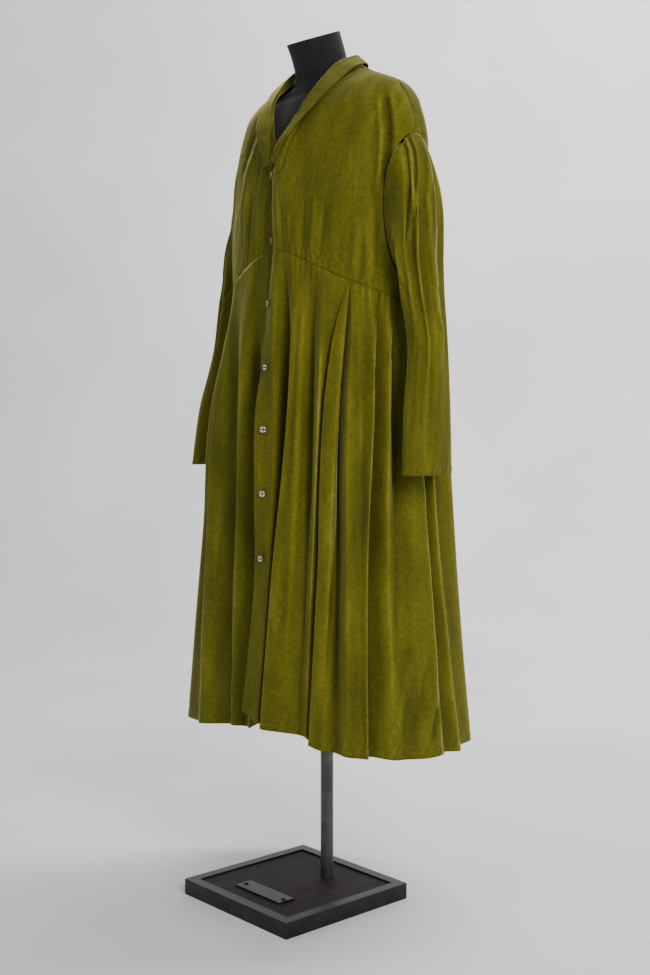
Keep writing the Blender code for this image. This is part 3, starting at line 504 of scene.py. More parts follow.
def settled(piece):
    """Keep what the modifiers made as a plain mesh, and drop the modifiers."""
    seen = piece.evaluated_get(bpy.context.evaluated_depsgraph_get())
    kept = bpy.data.meshes.new_from_object(seen)
    piece.modifiers.clear()
    piece.data = kept
    kept.name = piece.name
    return piece


# %% [markdown]
# ## Velvet
#
# The real cloth is cotton velvet, olive and washed soft. Its short pile drinks the light that
# falls straight on it and glows where it is seen edge-on, so every fold has a bright rim. The
# pile is pressed this way and that, which gives cloudy patches and fine streaks down the grain.
# Sheen makes the rim glow, noise stretched along the grain makes the patches and streaks, and a
# fine bump gives the pile. Fold ridges are painted a little lighter, as worn pile and painted
# highlight, and valleys a little darker, as painted shade.

# %% Velvet finish
def velvet_finish():
    finish, tree, shader = new_finish(
        "olive cotton velvet", Specular_IOR_Level=0.15, Sheen_Weight=0.95, Sheen_Roughness=0.30,
        Sheen_Tint=linear("d2cf78"))
    chart = add_node(tree, "ShaderNodeUVMap", uv_map="cloth").outputs["UV"]
    along = add_node(tree, "ShaderNodeMapping", {"Scale": (1.0, 0.22, 1.0)}, {"Vector": chart})
    patch = add_node(tree, "ShaderNodeTexNoise",
                     {"Scale": per_metre(34.0), "Detail": 3.0, "Roughness": 0.55},
                     {"Vector": along.outputs["Vector"]})
    streak = add_node(tree, "ShaderNodeTexNoise",
                      {"Scale": per_metre(1.7), "Detail": 3.0, "Roughness": 0.60},
                      {"Vector": along.outputs["Vector"]})
    crush = add_node(tree, "ShaderNodeTexNoise",
                     {"Scale": per_metre(7.0), "Detail": 4.0, "Roughness": 0.62,
                      "Distortion": 0.4}, {"Vector": chart})
    pile = add_node(tree, "ShaderNodeTexNoise", {"Scale": per_metre(0.7), "Detail": 1.0},
                    {"Vector": chart})
    clouds = add_node(tree, "ShaderNodeMix", {"Factor": 0.36},
                      {"A": patch.outputs["Fac"], "B": streak.outputs["Fac"]})
    lie = add_node(tree, "ShaderNodeMix", {"Factor": 0.30},
                   {"A": clouds.outputs["Result"], "B": crush.outputs["Fac"]})
    # Ridges are painted lighter, as worn pile and painted highlight; valleys darker, as painted
    # shade.
    ridge_wear_and_painted_light = add_node(tree, "ShaderNodeAttribute", attribute_name="ridge")
    value = add_node(tree, "ShaderNodeMath", {1: 0.20},
                     {0: ridge_wear_and_painted_light.outputs["Fac"], 2: lie.outputs["Result"]},
                     operation="MULTIPLY_ADD")
    colour = colour_steps(tree, value.outputs["Value"], (0.24, "2c2c06"), (0.44, "4b4b0b"),
                          (0.58, "605e12"), (0.70, "757121"), (0.84, "8e883e"))
    tree.links.new(colour, shader.inputs["Base Color"])
    rough = add_node(tree, "ShaderNodeMapRange", {"To Min": 0.70, "To Max": 0.95},
                     {"Value": crush.outputs["Fac"]})
    tree.links.new(rough.outputs["Result"], shader.inputs["Roughness"])
    soft = add_node(tree, "ShaderNodeBump", {"Strength": 0.40, "Distance": 0.0008},
                    {"Height": crush.outputs["Fac"]})
    lined = add_node(tree, "ShaderNodeBump", {"Strength": 0.40, "Distance": 0.0004},
                     {"Height": streak.outputs["Fac"], "Normal": soft.outputs["Normal"]})
    fine = add_node(tree, "ShaderNodeBump", {"Strength": 0.45, "Distance": 0.0002},
                    {"Height": pile.outputs["Fac"], "Normal": lined.outputs["Normal"]})
    tree.links.new(fine.outputs["Normal"], shader.inputs["Normal"])
    return finish


VELVET = velvet_finish()

# %% [markdown]
# ## Skirt
#
# Three panels: two fronts and a back, sewn at the sides. Their gathers crimp the cloth just under
# the waist seam and fade within a hand's breadth. The hem is turned up 2 cm and topstitched, which
# draws the cloth into small slanted puckers. Seams sink in a little.

# %% Skirt panels
SKIRT_STEPS, SKIRT_ROWS = 8, 150
SKIRT_SEAM_GAP = 0.0003
HEM_STITCH = 0.020
# Spacing and depth of the gathers at the waist seam, and how far the seam itself sinks in.
GATHER_PITCH, GATHER_DEPTH, WAIST_SINK, WAIST_SINK_REACH = 0.0062, 0.0016, 0.0012, 0.0028


def near(distance, reach):
    """1 at a line, fading to 0 within about `reach` metres of it."""
    return np.exp(-(distance / reach) ** 2)


def hem_press(across, up, seed, stitch=HEM_STITCH):
    """Turned-up hem: a stitched groove, and slanted puckers between it and the edge."""
    waves = puckers(across - 0.55 * up, 0.0070, seed)
    band = np.clip(1.0 - np.abs(up - 0.6 * stitch) / (0.85 * stitch), 0.0, 1.0)
    return 0.0009 * waves * band - 0.0010 * near(up - stitch, 0.0026)


def seam_press(across, deep=0.0008, reach=0.0035):
    """Both side edges of a panel sink towards their seams."""
    return -deep * (near(across, reach) + near(across.max(axis=1, keepdims=True) - across, reach))


# Creases of the skirt: points as (place in the list of folds, level), half width, mm, fade.
SKIRT_CREASES = (
    (((17.6, 0.540), (16.2, 0.380)), 0.34, -3.5, 0.03),
    (((16.9, 0.560), (15.3, 0.390)), 0.30, 3.0, 0.03),
    (((18.0, 0.455), (17.3, 0.372)), 0.24, -5.0, 0.02),
    (((15.9, 0.700), (15.5, 0.480)), 0.25, -2.0, 0.05),
    (((2.7, 1.150), (2.6, 0.700)), 0.22, -1.6, 0.08),
    (((3.2, 1.000), (3.1, 0.480)), 0.20, 1.6, 0.08),
    (((8.5, 0.760), (8.0, 0.420)), 0.22, -2.2, 0.06),
    (((18.0, 1.100), (18.0, 0.470)), 0.20, 3.4, 0.05),
    (((52.0, 1.060), (52.0, 0.500)), 0.40, -4.5, 0.06),
    (((54.0, 1.080), (54.0, 0.480)), 0.34, -4.0, 0.06),
    (((51.2, 1.050), (51.0, 0.480)), 0.22, -2.4, 0.08),
    (((53.6, 1.120), (53.4, 0.700)), 0.20, 2.0, 0.06),
    (((30.5, 1.150), (30.2, 0.700)), 0.25, -2.5, 0.08),
    (((38.4, 1.100), (38.8, 0.600)), 0.25, 2.5, 0.08),
)


def gathered(place, middles, spread):
    """Where the gathers are bunched together: 1 there, 0.35 between."""
    heaps = [np.exp(-((place - middle) / spread) ** 2) for middle in middles]
    return 0.35 + 0.65 * np.clip(np.sum(heaps, axis=0), 0.0, 1.0)


skirt_names = [row[0] for row in FOLDS]
skirt_levels = HEM + (WAIST - HEM) * np.linspace(0.0, 1.0, SKIRT_ROWS) ** 0.97
skirt = skirt_rows(skirt_levels, SKIRT_STEPS)
left_seam = skirt_names.index("side seam") * SKIRT_STEPS
right_seam = (len(FOLDS) - 1 - RIGHT_SIDE_SEAM) * SKIRT_STEPS
PANELS = {
    "skirt_front_left": (0, left_seam, 71),
    "skirt_back": (left_seam, right_seam, 72),
    "skirt_front_right": (right_seam, skirt.shape[1] - 1, 73),
}
grids = {}
for name, (first, last, seed) in PANELS.items():
    rows = skirt[:, first:last + 1].copy()
    across, up = run_across(rows), run_up(rows)
    down = up.max(axis=0, keepdims=True) - up
    place = np.arange(first, last + 1)[None, :] / SKIRT_STEPS
    crimp = (puckers(np.broadcast_to(across[-1], across.shape), GATHER_PITCH, seed)
             * gathered(place, (3.4, 12.5, 15.0, 22.0, 27.0, 32.0, 38.0, 44.0, 52.5), 1.6))
    rows = pushed(rows, GATHER_DEPTH * crimp * np.exp(-down / 0.034)
                  * np.clip(down / 0.004, 0.0, 1.0)
                  + creased(place, skirt_levels[:, None], SKIRT_CREASES)
                  + ripples(across, up, 64, seed, 0.0011) + hem_press(across, up, seed)
                  - WAIST_SINK * near(down, WAIST_SINK_REACH) + seam_press(across))
    grids[name] = rows
pieces = {name: cloth(name, rows, VELVET) for name, rows in grids.items()}

# %% [markdown]
# ## Bodice
#
# Two fronts and a back, with an upright oval armhole between them. The cloth hangs from the
# dropped shoulder in soft drag lines, and it is gathered into the waist seam.

# %% Bodice panels
BODICE_FOLDS = (
    # angle_top, level_top, angle_low, level_low, half_width, depth in mm
    (78.0, 1.500, 76.0, 1.225, 6.0, -17.0),
    (-78.0, 1.500, -76.0, 1.225, 6.0, -15.0),
    (38.0, 1.400, 42.0, 1.225, 6.0, 3.0),
    (-40.0, 1.400, -36.0, 1.225, 6.0, 3.0),
    (108.0, 1.480, 106.0, 1.225, 6.0, -12.0),
    (-108.0, 1.480, -106.0, 1.225, 6.0, -12.0),
    (180.0, 1.400, 180.0, 1.225, 8.0, -3.0),
    (112.0, 1.510, 112.0, 1.270, 16.0, 20.0),
    (-112.0, 1.510, -112.0, 1.270, 16.0, 20.0),
    (-50.0, 1.480, -50.0, 1.350, 14.0, -8.0),
)
BODICE_FOLD_START, FOLD_MIDDLE, FOLD_FADE = 0.060, 0.40, 0.75
NECKLINE = {
    "level": (V_POINT, 1.412, 1.455, 1.475, 1.492, 1.508, 1.523, 1.538, NECK),
    "angle": (6.5, 9.0, 17.0, 24.0, 34.0, 45.0, 56.0, 68.0, 85.0),
}
SIDE_ANGLE = 90.0
ARMHOLE_LEVEL, ARMHOLE_HALF_HEIGHT, ARMHOLE_HALF_ANGLE = 1.322, 0.090, 12.0
BODICE_COLUMNS = 96


def bodice_out(angle, level):
    """How far the bodice stands out of its plain ring, in metres."""
    angle = (np.asarray(angle, float) + 180.0) % 360.0 - 180.0
    total = np.zeros(np.broadcast(angle, level).shape)
    for angle_top, level_top, angle_low, level_low, half_width, depth in BODICE_FOLDS:
        share = (level - level_low) / (level_top - level_low)
        middle = angle_low + (angle_top - angle_low) * share
        away = np.abs((angle - middle + 180.0) % 360.0 - 180.0) / half_width
        along = np.clip(1.0 - ((share - FOLD_MIDDLE) / FOLD_FADE) ** 2, 0.0, 1.0)
        total = total + depth / 1000.0 * np.exp(-away**2) * along
    return total * np.clip((level - WAIST) / BODICE_FOLD_START, 0.0, 1.0)


def armhole_reach(level):
    """Half the armhole's width in degrees at a level."""
    height = (np.asarray(level, float) - ARMHOLE_LEVEL) / ARMHOLE_HALF_HEIGHT
    return ARMHOLE_HALF_ANGLE * np.sqrt(np.clip(1.0 - height**2, 0.0, None))


def front_start(level):
    """Angle at which a front starts at a level: the band seam, then the neckline."""
    level = np.asarray(level, float)
    neck = np.interp(level, NECKLINE["level"], NECKLINE["angle"])
    rise = np.clip((level - WAIST) / (V_POINT - WAIST), 0.0, 1.0)
    seam = FOLDS_LEFT[0][5] + (NECKLINE["angle"][0] - FOLDS_LEFT[0][5]) * rise
    return np.where(level > V_POINT, neck, seam)


def bodice_levels(below=8, beside=44, above=44):
    """Levels of the bodice's rows, close together at both ends of the armhole."""
    turns = np.linspace(math.pi, 0.0, beside)
    armhole = ARMHOLE_LEVEL + ARMHOLE_HALF_HEIGHT * np.cos(turns)
    low = np.linspace(WAIST, armhole[0], below, endpoint=False)
    high = np.linspace(armhole[-1], NECK, above + 1)[1:]
    return np.array([*low, *armhole, *high])


def bodice_rows(starts, ends, columns):
    """Rows between a start and an end angle given for each level of the bodice."""
    rows = []
    for level, start, end in zip(bodice_levels(), starts, ends):
        angles = np.linspace(start, end, columns + 1)
        rows.append(ring_point(angles, level, bodice_out(angles, level)))
    return np.array(rows)


# Creases of the bodice: points as (angle, level), half width in degrees, mm, fade.
BODICE_CREASES = (
    (((80.4, 1.486), (79.6, 1.430), (79.5, 1.385), (78.0, 1.335)), 1.3, -12.0, 0.020),
    (((77.4, 1.480), (76.6, 1.430), (76.3, 1.385), (75.0, 1.340)), 1.1, 3.0, 0.020),
    (((86.0, 1.482), (76.0, 1.425), (69.0, 1.360)), 2.6, -2.6, 0.020),
    (((83.5, 1.480), (68.0, 1.420), (56.0, 1.340)), 3.4, 2.0, 0.030),
    (((72.0, 1.330), (70.5, 1.225)), 2.6, 3.0, 0.020),
    (((41.0, 1.320), (37.6, 1.222)), 2.0, 2.6, 0.015),
    (((47.5, 1.310), (43.0, 1.222)), 1.8, -2.4, 0.015),
    (((33.0, 1.300), (31.5, 1.222)), 1.6, -2.0, 0.015),
    (((64.0, 1.305), (62.0, 1.222)), 1.8, 2.2, 0.015),
    (((67.5, 1.290), (66.0, 1.222)), 1.5, -2.6, 0.015),
    (((55.0, 1.400), (54.0, 1.250)), 3.0, -1.6, 0.040),
    (((10.8, 1.335), (12.4, 1.240)), 1.0, 1.4, 0.020),
    (((14.2, 1.310), (16.5, 1.225)), 1.2, -1.8, 0.020),
    (((20.0, 1.290), (21.5, 1.225)), 1.4, 1.6, 0.020),
    (((-33.0, 1.350), (-34.0, 1.312), (-33.7, 1.225)), 1.8, 3.4, 0.020),
    (((-29.8, 1.335), (-30.4, 1.235)), 1.6, -2.6, 0.020),
    (((-40.0, 1.470), (-48.0, 1.435), (-54.0, 1.370)), 2.4, -3.4, 0.020),
    (((-34.0, 1.440), (-40.0, 1.360), (-42.0, 1.290)), 2.2, 2.6, 0.030),
    (((-24.0, 1.400), (-27.0, 1.300)), 2.0, -2.2, 0.030),
    (((-16.0, 1.340), (-16.5, 1.230)), 1.4, 1.6, 0.020),
    (((-80.0, 1.480), (-79.0, 1.340)), 2.0, -7.0, 0.020),
    (((-66.0, 1.400), (-64.0, 1.230)), 2.6, 2.6, 0.030),
    (((100.0, 1.475), (112.0, 1.400), (122.0, 1.300)), 2.6, -2.8, 0.030),
    (((104.0, 1.480), (124.0, 1.420), (140.0, 1.330)), 3.4, 2.2, 0.030),
    (((258.0, 1.475), (247.0, 1.400), (236.0, 1.310)), 2.6, -2.8, 0.030),
    (((255.0, 1.480), (238.0, 1.410), (224.0, 1.320)), 3.4, 2.2, 0.030),
    (((150.0, 1.330), (148.0, 1.225)), 2.0, 2.4, 0.020),
    (((171.0, 1.350), (173.0, 1.225)), 2.2, -2.2, 0.020),
    (((199.0, 1.330), (196.0, 1.225)), 2.0, 2.4, 0.020),
    (((222.0, 1.320), (224.0, 1.225)), 2.2, -2.4, 0.020),
)
FACING_INSET = 0.021


def neckline_press(rows, seam):
    """The front's facing is stitched down inside: a groove and a soft ridge beside the neckline."""
    away = np.linalg.norm(rows[:, :, None, :] - seam[None, None, ::2, :], axis=-1).min(axis=-1)
    return 0.0010 * near(away - 0.011, 0.005) - 0.0020 * near(away - FACING_INSET, 0.0032)


levels = bodice_levels()
reach = armhole_reach(levels)
FRONTS = {"bodice_front_left": (front_start(levels), SIDE_ANGLE - reach),
          "bodice_front_right": (reach - SIDE_ANGLE, -front_start(levels)),
          "bodice_back": (SIDE_ANGLE + reach, 360.0 - SIDE_ANGLE - reach)}
for seed, (name, (starts, ends)) in enumerate(FRONTS.items(), start=81):
    columns = BODICE_COLUMNS * (2 if name == "bodice_back" else 1)
    rows = bodice_rows(starts, ends, columns)
    angle = starts[:, None] + (ends - starts)[:, None] * np.linspace(0.0, 1.0, columns + 1)
    across, up = run_across(rows), run_up(rows)
    crimp = (puckers(np.broadcast_to(across[0], across.shape), GATHER_PITCH, seed)
             * gathered(angle, (36.0, 69.0, 120.0, 150.0, 180.0, 210.0, 240.0, -36.0, -70.0), 9.0))
    push = (GATHER_DEPTH * crimp * np.exp(-up / 0.030) * np.clip(up / 0.004, 0.0, 1.0)
            + creased(angle, levels[:, None], BODICE_CREASES)
            + ripples(across, up, 46, seed, 0.0012) - WAIST_SINK * near(up, WAIST_SINK_REACH)
            + seam_press(across))
    if name != "bodice_back":
        start = np.searchsorted(levels, V_POINT)
        push = push + neckline_press(rows, rows[start:, 0 if "left" in name else -1])
    grids[name] = pushed(rows, push)
    # The grain runs straight up, so the cloth is charted from centre front or from centre back.
    centre = {"bodice_front_left": -np.abs(rows[:, :1, 0]),
              "bodice_front_right": across[:, -1:] + np.abs(rows[:, -1:, 0]),
              "bodice_back": across[:, -1:] / 2.0}[name]
    pieces[name] = cloth(name, grids[name], VELVET, chart=(across - centre, levels[:, None]))

# %% [markdown]
# ## Closure
#
# The two button bands are straight strips, 35 mm wide, sewn to the fronts. The wearer's left one
# lies on top and turns as it falls: nearly edge-on down to the hip, and open to the camera below.
# Each has a line of topstitching inside both edges, which makes it slightly quilted.

# %% Button bands
BAND_WIDTH, BAND_RIGHT_TURN = 0.035, -2.0
BAND_LEFT = {
    "level": (0.355, 0.480, 0.660, 0.777, 0.893, 1.000, 1.119, 1.2165, 1.300, V_POINT),
    "turn": (6.0, 4.0, 6.0, 26.0, 34.0, 2.0, -18.0, -26.0, -28.0, -26.0),
    "bow": (6.0, 4.0, 0.0, 4.0, 4.0, -8.0, -12.0, -14.0, -14.0, -12.0),
}
BAND_HEM_RISE, BAND_TOP_SLANT, BAND_RISE_HEIGHT = 0.018, 0.010, 0.120
BAND_COLUMNS, BAND_ROWS, BAND_TOP_TUCK, BAND_STITCH = 28, 220, 0.003, 0.0035


def closure_seam(folds, level):
    """Where a closure band is sewn to its front, at any level."""
    if level > WAIST:
        angle = math.copysign(front_start(level), folds[5])
        return ring_point(angle, level, bodice_out(angle, level))
    angle = smooth_curve(FOLD_LEVELS, folds[1:6], level)
    out = smooth_curve(FOLD_LEVELS, (*folds[6:], 0.0), level) / 1000.0
    return ring_point(angle, level, out)


def band_rows(folds, turn_of, side):
    """Rows across a closure band, from its seam outwards. side is 1 where it runs towards +X."""
    rows = []
    for level in np.linspace(HEM, V_POINT + BAND_TOP_TUCK, BAND_ROWS):
        turn, bow = turn_of(level)
        point = closure_seam(folds, level)
        low = np.clip(1.0 - (level - HEM) / BAND_RISE_HEIGHT, 0.0, 1.0)
        high = np.clip(1.0 - (V_POINT - level) / BAND_RISE_HEIGHT, 0.0, 1.0)
        row = []
        for column in range(BAND_COLUMNS + 1):
            share = column / BAND_COLUMNS
            swing = math.radians(turn + bow * share)
            step = BAND_WIDTH / BAND_COLUMNS if column else SKIRT_SEAM_GAP
            point = point + step * np.array([side * math.cos(swing), -math.sin(swing), 0.0])
            lift = (low * BAND_HEM_RISE - high * BAND_TOP_SLANT) * share
            row.append(point + np.array([0.0, 0.0, lift]))
        rows.append(row if side > 0 else row[::-1])
    return np.array(rows)


def left_turn(level):
    return (smooth_curve(BAND_LEFT["level"], BAND_LEFT["turn"], level),
            smooth_curve(BAND_LEFT["level"], BAND_LEFT["bow"], level))


def right_turn(level):
    return BAND_RIGHT_TURN, 0.0


def band_press(across, up, seed):
    """Topstitched edges sink, and the strip between them stays a little padded."""
    wide = across.max(axis=1, keepdims=True)
    waves = puckers(up, 0.011, seed)
    stitch = near(across - BAND_STITCH, 0.0016) + near(wide - across - BAND_STITCH, 0.0016)
    return (0.00035 * waves * (near(across - 0.003, 0.005) + near(wide - across - 0.003, 0.005))
            - 0.0005 * stitch + ripples(across, up, 30, seed, 0.0008, (0.006, 0.012), (0.02, 0.08)))


BANDS = {"band_left": (band_rows(FOLDS_LEFT[0], left_turn, -1), 91),
         "band_right": (band_rows(FOLDS_RIGHT[-1], right_turn, 1), 92)}
for name, (rows, seed) in BANDS.items():
    across, up = run_across(rows), run_up(rows)
    rows = pushed(rows, band_press(across, up, seed))
    grids[name] = rows
    pieces[name] = cloth(name, rows, VELVET, thickness=0.0015)

# %% [markdown]
# ## Sleeves
#
# Wide straight tubes, set in a dropped armhole with a few gathers and a turned-up cuff. The tube
# is level ovals that widen downwards, and folds of its own run along it.

# %% Sleeve tubes
SLEEVE = {
    "height": (0.817, 0.920, 1.050, 1.130, 1.190),
    "centre_x": (0.292, 0.287, 0.274, 0.258, 0.248),
    "centre_y": (-0.030, -0.025, -0.014, -0.010, -0.007),
    "half_x": (0.030, 0.031, 0.033, 0.033, 0.033),
    "half_y": (0.0535, 0.050, 0.038, 0.046, 0.052),
}
SLEEVE_FOLDS = (
    # angle round it (0 outside, 90 in front), then mm out at the armhole, elbow and cuff
    (0.0, 5, 1, 0), (14.0, 3, 1, 0), (28.0, -6, -1, 0), (37.0, 2, 1, 0), (47.0, -6, -2, 0),
    (62.0, 6, 3, 1), (76.0, 4, 2, 0), (90.0, 6, 2, 1), (108.0, -2, 1, 0), (135.0, -3, -2, 0),
    (180.0, 0, 0, 0), (225.0, -2, -3, 0), (256.0, 2, 2, 1), (280.0, 3, 2, 1),
    (304.0, -4, -2, 0), (322.0, 2, 1, 0), (342.0, -2, -1, 0),
)
SLEEVE_LEAN, SLEEVE_RIGHT_FORWARD = 0.60, (-0.016, 0.014)
SLEEVE_STEPS, SLEEVE_ROWS, SLEEVE_HEAD_ROWS = 9, 84, 46
SLEEVE_ELBOW, SLEEVE_PULL = 1.0, 0.40
SLEEVE_SEAM_GAP, CUFF_STITCH = 0.0010, 0.018


def armhole_point(turn, side):
    """Point of the armhole's edge. turn is 0 at its top and 90 at its front."""
    turn = np.radians(turn)
    angle = 90.0 - ARMHOLE_HALF_ANGLE * np.sin(turn)
    level = ARMHOLE_LEVEL + ARMHOLE_HALF_HEIGHT * np.cos(turn)
    point = ring_point(side * angle, level, bodice_out(side * angle, level))
    return point + np.array([side * SLEEVE_SEAM_GAP, 0.0, 0.0])


def sleeve_ring(height, turns, side):
    """Points of a level section of a sleeve's plain tube."""
    read = {name: smooth_curve(SLEEVE["height"], column, height)
            for name, column in SLEEVE.items() if name != "height"}
    drop = (SLEEVE["height"][-1] - height) / (SLEEVE["height"][-1] - SLEEVE["height"][0])
    turns = np.radians(turns)
    x = read["centre_x"] + read["half_x"] * np.cos(turns)
    y = read["centre_y"] - read["half_y"] * np.sin(turns)
    if side < 0:
        y = y - np.interp(drop, (0.0, 1.0), SLEEVE_RIGHT_FORWARD)
    return np.stack([side * x, y, np.full_like(x, height)], axis=-1)


def sleeve_rows(side):
    """Rows round a sleeve, from the cuff up to the armhole."""
    turns = np.array([row[0] for row in SLEEVE_FOLDS])
    outward = np.stack([side * np.cos(np.radians(turns)), -np.sin(np.radians(turns)),
                        np.zeros(len(turns))], axis=-1)
    outs = np.array([row[1:] for row in SLEEVE_FOLDS]) / 1000.0
    heights = SLEEVE["height"]
    rows = []
    for height in np.linspace(heights[0], heights[-1], SLEEVE_ROWS):
        out = [smooth_curve((heights[0], SLEEVE_ELBOW, heights[-1]), line[::-1], height)
               for line in outs]
        rows.append(sleeve_ring(height, turns, side) + outward * np.array(out)[:, None])
    top = rows[-1]
    loop = armhole_point(turns, side)
    reach = np.linalg.norm(loop - top, axis=-1, keepdims=True)
    first_pull = loop + np.array([side * SLEEVE_LEAN, 0.0, -1.0]) * reach * SLEEVE_PULL
    last_pull = top + np.array([0.0, 0.0, 1.0]) * reach * SLEEVE_PULL
    for t in np.linspace(0.0, 1.0, SLEEVE_HEAD_ROWS + 1)[1:]:
        back = 1.0 - t
        rows.append(back**3 * top + 3.0 * back**2 * t * last_pull
                    + 3.0 * back * t**2 * first_pull + t**3 * loop)
    rows = [through_points(row, SLEEVE_STEPS, closed=True) for row in rows]
    return np.array(rows if side < 0 else [row[::-1] for row in rows])


# Creases of a sleeve: points as (turn from -180 to 180, height), half width, mm, fade.
SLEEVE_CREASES = (
    (((29.0, 1.420), (31.0, 1.380), (50.0, 1.288), (62.0, 1.205)), 3.4, -8.0, 0.025),
    (((18.0, 1.412), (19.0, 1.378), (35.0, 1.306), (42.0, 1.255)), 2.8, -7.0, 0.020),
    (((-4.0, 1.405), (-7.0, 1.393), (14.0, 1.290), (10.0, 1.218), (5.0, 1.163), (5.0, 1.100),
      (-15.0, 1.040)), 5.0, 4.0, 0.030),
    (((-20.0, 1.400), (-12.0, 1.320), (-14.0, 1.240)), 4.0, -4.0, 0.030),
    (((106.0, 1.176), (70.0, 1.118)), 5.0, -2.0, 0.010),
    (((60.0, 1.170), (66.0, 1.118), (80.0, 1.000)), 7.0, 1.8, 0.030),
    (((56.0, 1.112), (30.0, 1.085)), 7.0, -1.3, 0.010),
    (((-30.0, 1.150), (12.0, 1.118)), 7.0, -1.3, 0.012),
    (((30.0, 1.040), (20.0, 0.880)), 8.0, -1.8, 0.050),
    (((58.0, 0.980), (52.0, 0.850)), 7.0, 1.5, 0.040),
    (((150.0, 1.400), (160.0, 1.250)), 4.0, -6.0, 0.030),
    (((-172.0, 1.410), (-176.0, 1.270)), 4.0, -5.0, 0.030),
    (((-128.0, 1.400), (-134.0, 1.240)), 4.0, -6.0, 0.030),
    (((-80.0, 1.390), (-70.0, 1.260)), 4.0, -5.0, 0.030),
    (((-120.0, 1.140), (-80.0, 1.100)), 7.0, -3.0, 0.012),
    (((-60.0, 1.060), (-66.0, 0.900)), 8.0, -3.0, 0.040),
)


def sleeve_turns():
    """Turn of each column of a sleeve, in the order of the fold table."""
    given = [row[0] for row in SLEEVE_FOLDS] + [360.0]
    turns = np.interp(np.arange(len(SLEEVE_FOLDS) * SLEEVE_STEPS) / SLEEVE_STEPS,
                      np.arange(len(given)), given)
    return (turns + 180.0) % 360.0 - 180.0


for side, name, seed in ((1, "sleeve_left", 101), (-1, "sleeve_right", 102)):
    rows = sleeve_rows(side)
    turns = sleeve_turns()[None, ::-side]
    across, up = run_across(rows), run_up(rows)
    down = up.max(axis=0, keepdims=True) - up
    crimp = puckers(np.broadcast_to(across[-1], across.shape), 0.0090, seed)
    rows = pushed(rows, 0.0006 * crimp * np.exp(-down / 0.012) * np.clip(down / 0.004, 0.0, 1.0)
                  + creased(turns, rows[..., 2], SLEEVE_CREASES)
                  + ripples(across, up, 16, seed, 0.0010, (0.010, 0.024))
                  + hem_press(across, up, seed, CUFF_STITCH)
                  - 0.0010 * near(down, 0.003), closed=True)
    grids[name] = rows
    pieces[name] = cloth(name, rows, VELVET, closed=True)

# %% [markdown]
# ## Collar
#
# A shawl collar stands up inside the neckline, rolls over softly, and its fall lies open on the
# shoulders. One grid runs along the neckline, and across it from the seam over the roll to the
# free edge.

# %% Collar
COLLAR = (
    # level, angle   roll: x, y, z                 free edge: x, y, z
    (1.3690, 6.5,     0.0030, -0.1405, 1.3720,     0.0125, -0.1415, 1.3715),
    (1.4050, 8.6,     0.0085, -0.1325, 1.4020,     0.0370, -0.1300, 1.4100),
    (1.4500, 16.0,    0.0350, -0.1120, 1.4490,     0.0660, -0.1120, 1.4500),
    (1.5000, 39.5,    0.0560, -0.0760, 1.5100,     0.0930, -0.0720, 1.5020),
    (1.5300, 62.0,    0.0620, -0.0330, 1.5540,     0.1050, -0.0330, 1.5390),
    (1.5550, 92.0,    0.0640, 0.0100, 1.5745,     0.0910, 0.0120, 1.5575),
    (1.5550, 135.0,   0.0470, 0.0400, 1.5740,     0.0560, 0.0500, 1.5545),
    (1.5550, 180.0,   0.0, 0.0640, 1.5760,     0.0, 0.0760, 1.5520),
)
COLLAR_BACK_PACE, COLLAR_GAP, COLLAR_CROWN = 0.001, 0.0018, 0.0012
COLLAR_COLUMNS, COLLAR_ACROSS = 90, 5
# The fall's lower half stands off the chest by this much round this level.
COLLAR_LIFT, COLLAR_LIFT_LEVEL, COLLAR_LIFT_REACH = 0.0045, 1.425, 0.040


def collar_lines():
    """The collar's seam, roll and free edge along its left half, point by point."""
    front = np.linspace(COLLAR[0][0], NECK, COLLAR_COLUMNS // 2)
    back_angles = np.linspace(front_start(NECK), 180.0, COLLAR_COLUMNS // 2 + 1)[1:]
    levels = np.array([*front, *[NECK] * len(back_angles)])
    angles = np.array([*front_start(front), *back_angles])
    inner = ring_point(angles, levels)
    drop = ring_point(angles, levels - COLLAR_GAP)
    turn = ring_point(angles + 3.0, levels)
    away = np.where(levels[:, None] < NECK, inner - turn, inner - drop)
    seam = inner + away * COLLAR_GAP / np.linalg.norm(away, axis=-1, keepdims=True)
    table = np.array(COLLAR)
    start = front_start(NECK)
    given = table[:, 0] + (table[:, 1] - start) * COLLAR_BACK_PACE * (table[:, 0] >= NECK)
    wanted = levels + (angles - start) * COLLAR_BACK_PACE * (levels >= NECK)
    roll, edge = (
        np.stack([smooth_curve(given, table[:, column], wanted) for column in columns], axis=-1)
        for columns in ((2, 3, 4), (5, 6, 7))
    )
    lift = COLLAR_LIFT * near(levels - COLLAR_LIFT_LEVEL, COLLAR_LIFT_REACH)[:, None]
    return seam, roll, edge + lift * (0.2, -1.0, 0.3)


def collar_rows():
    """Rows of the whole collar: each runs along the neckline, from the seam out to the edge."""
    seam, roll, edge = (
        np.vstack([line, line[-2::-1] * (-1.0, 1.0, 1.0)]) for line in collar_lines()
    )
    crown = np.array([0.0, 0.0, COLLAR_CROWN])
    lines = [seam, seam + (roll - seam) * 0.55, seam + (roll - seam) * 0.88, roll + crown,
             roll + (edge - roll) * 0.14, roll + (edge - roll) * 0.55, edge]
    columns = [through_points(column, COLLAR_ACROSS) for column in np.swapaxes(lines, 0, 1)]
    return np.swapaxes(np.array(columns), 0, 1)


rows = collar_rows()
across, up = run_across(rows), run_up(rows)
edge = up.max(axis=0, keepdims=True) - up
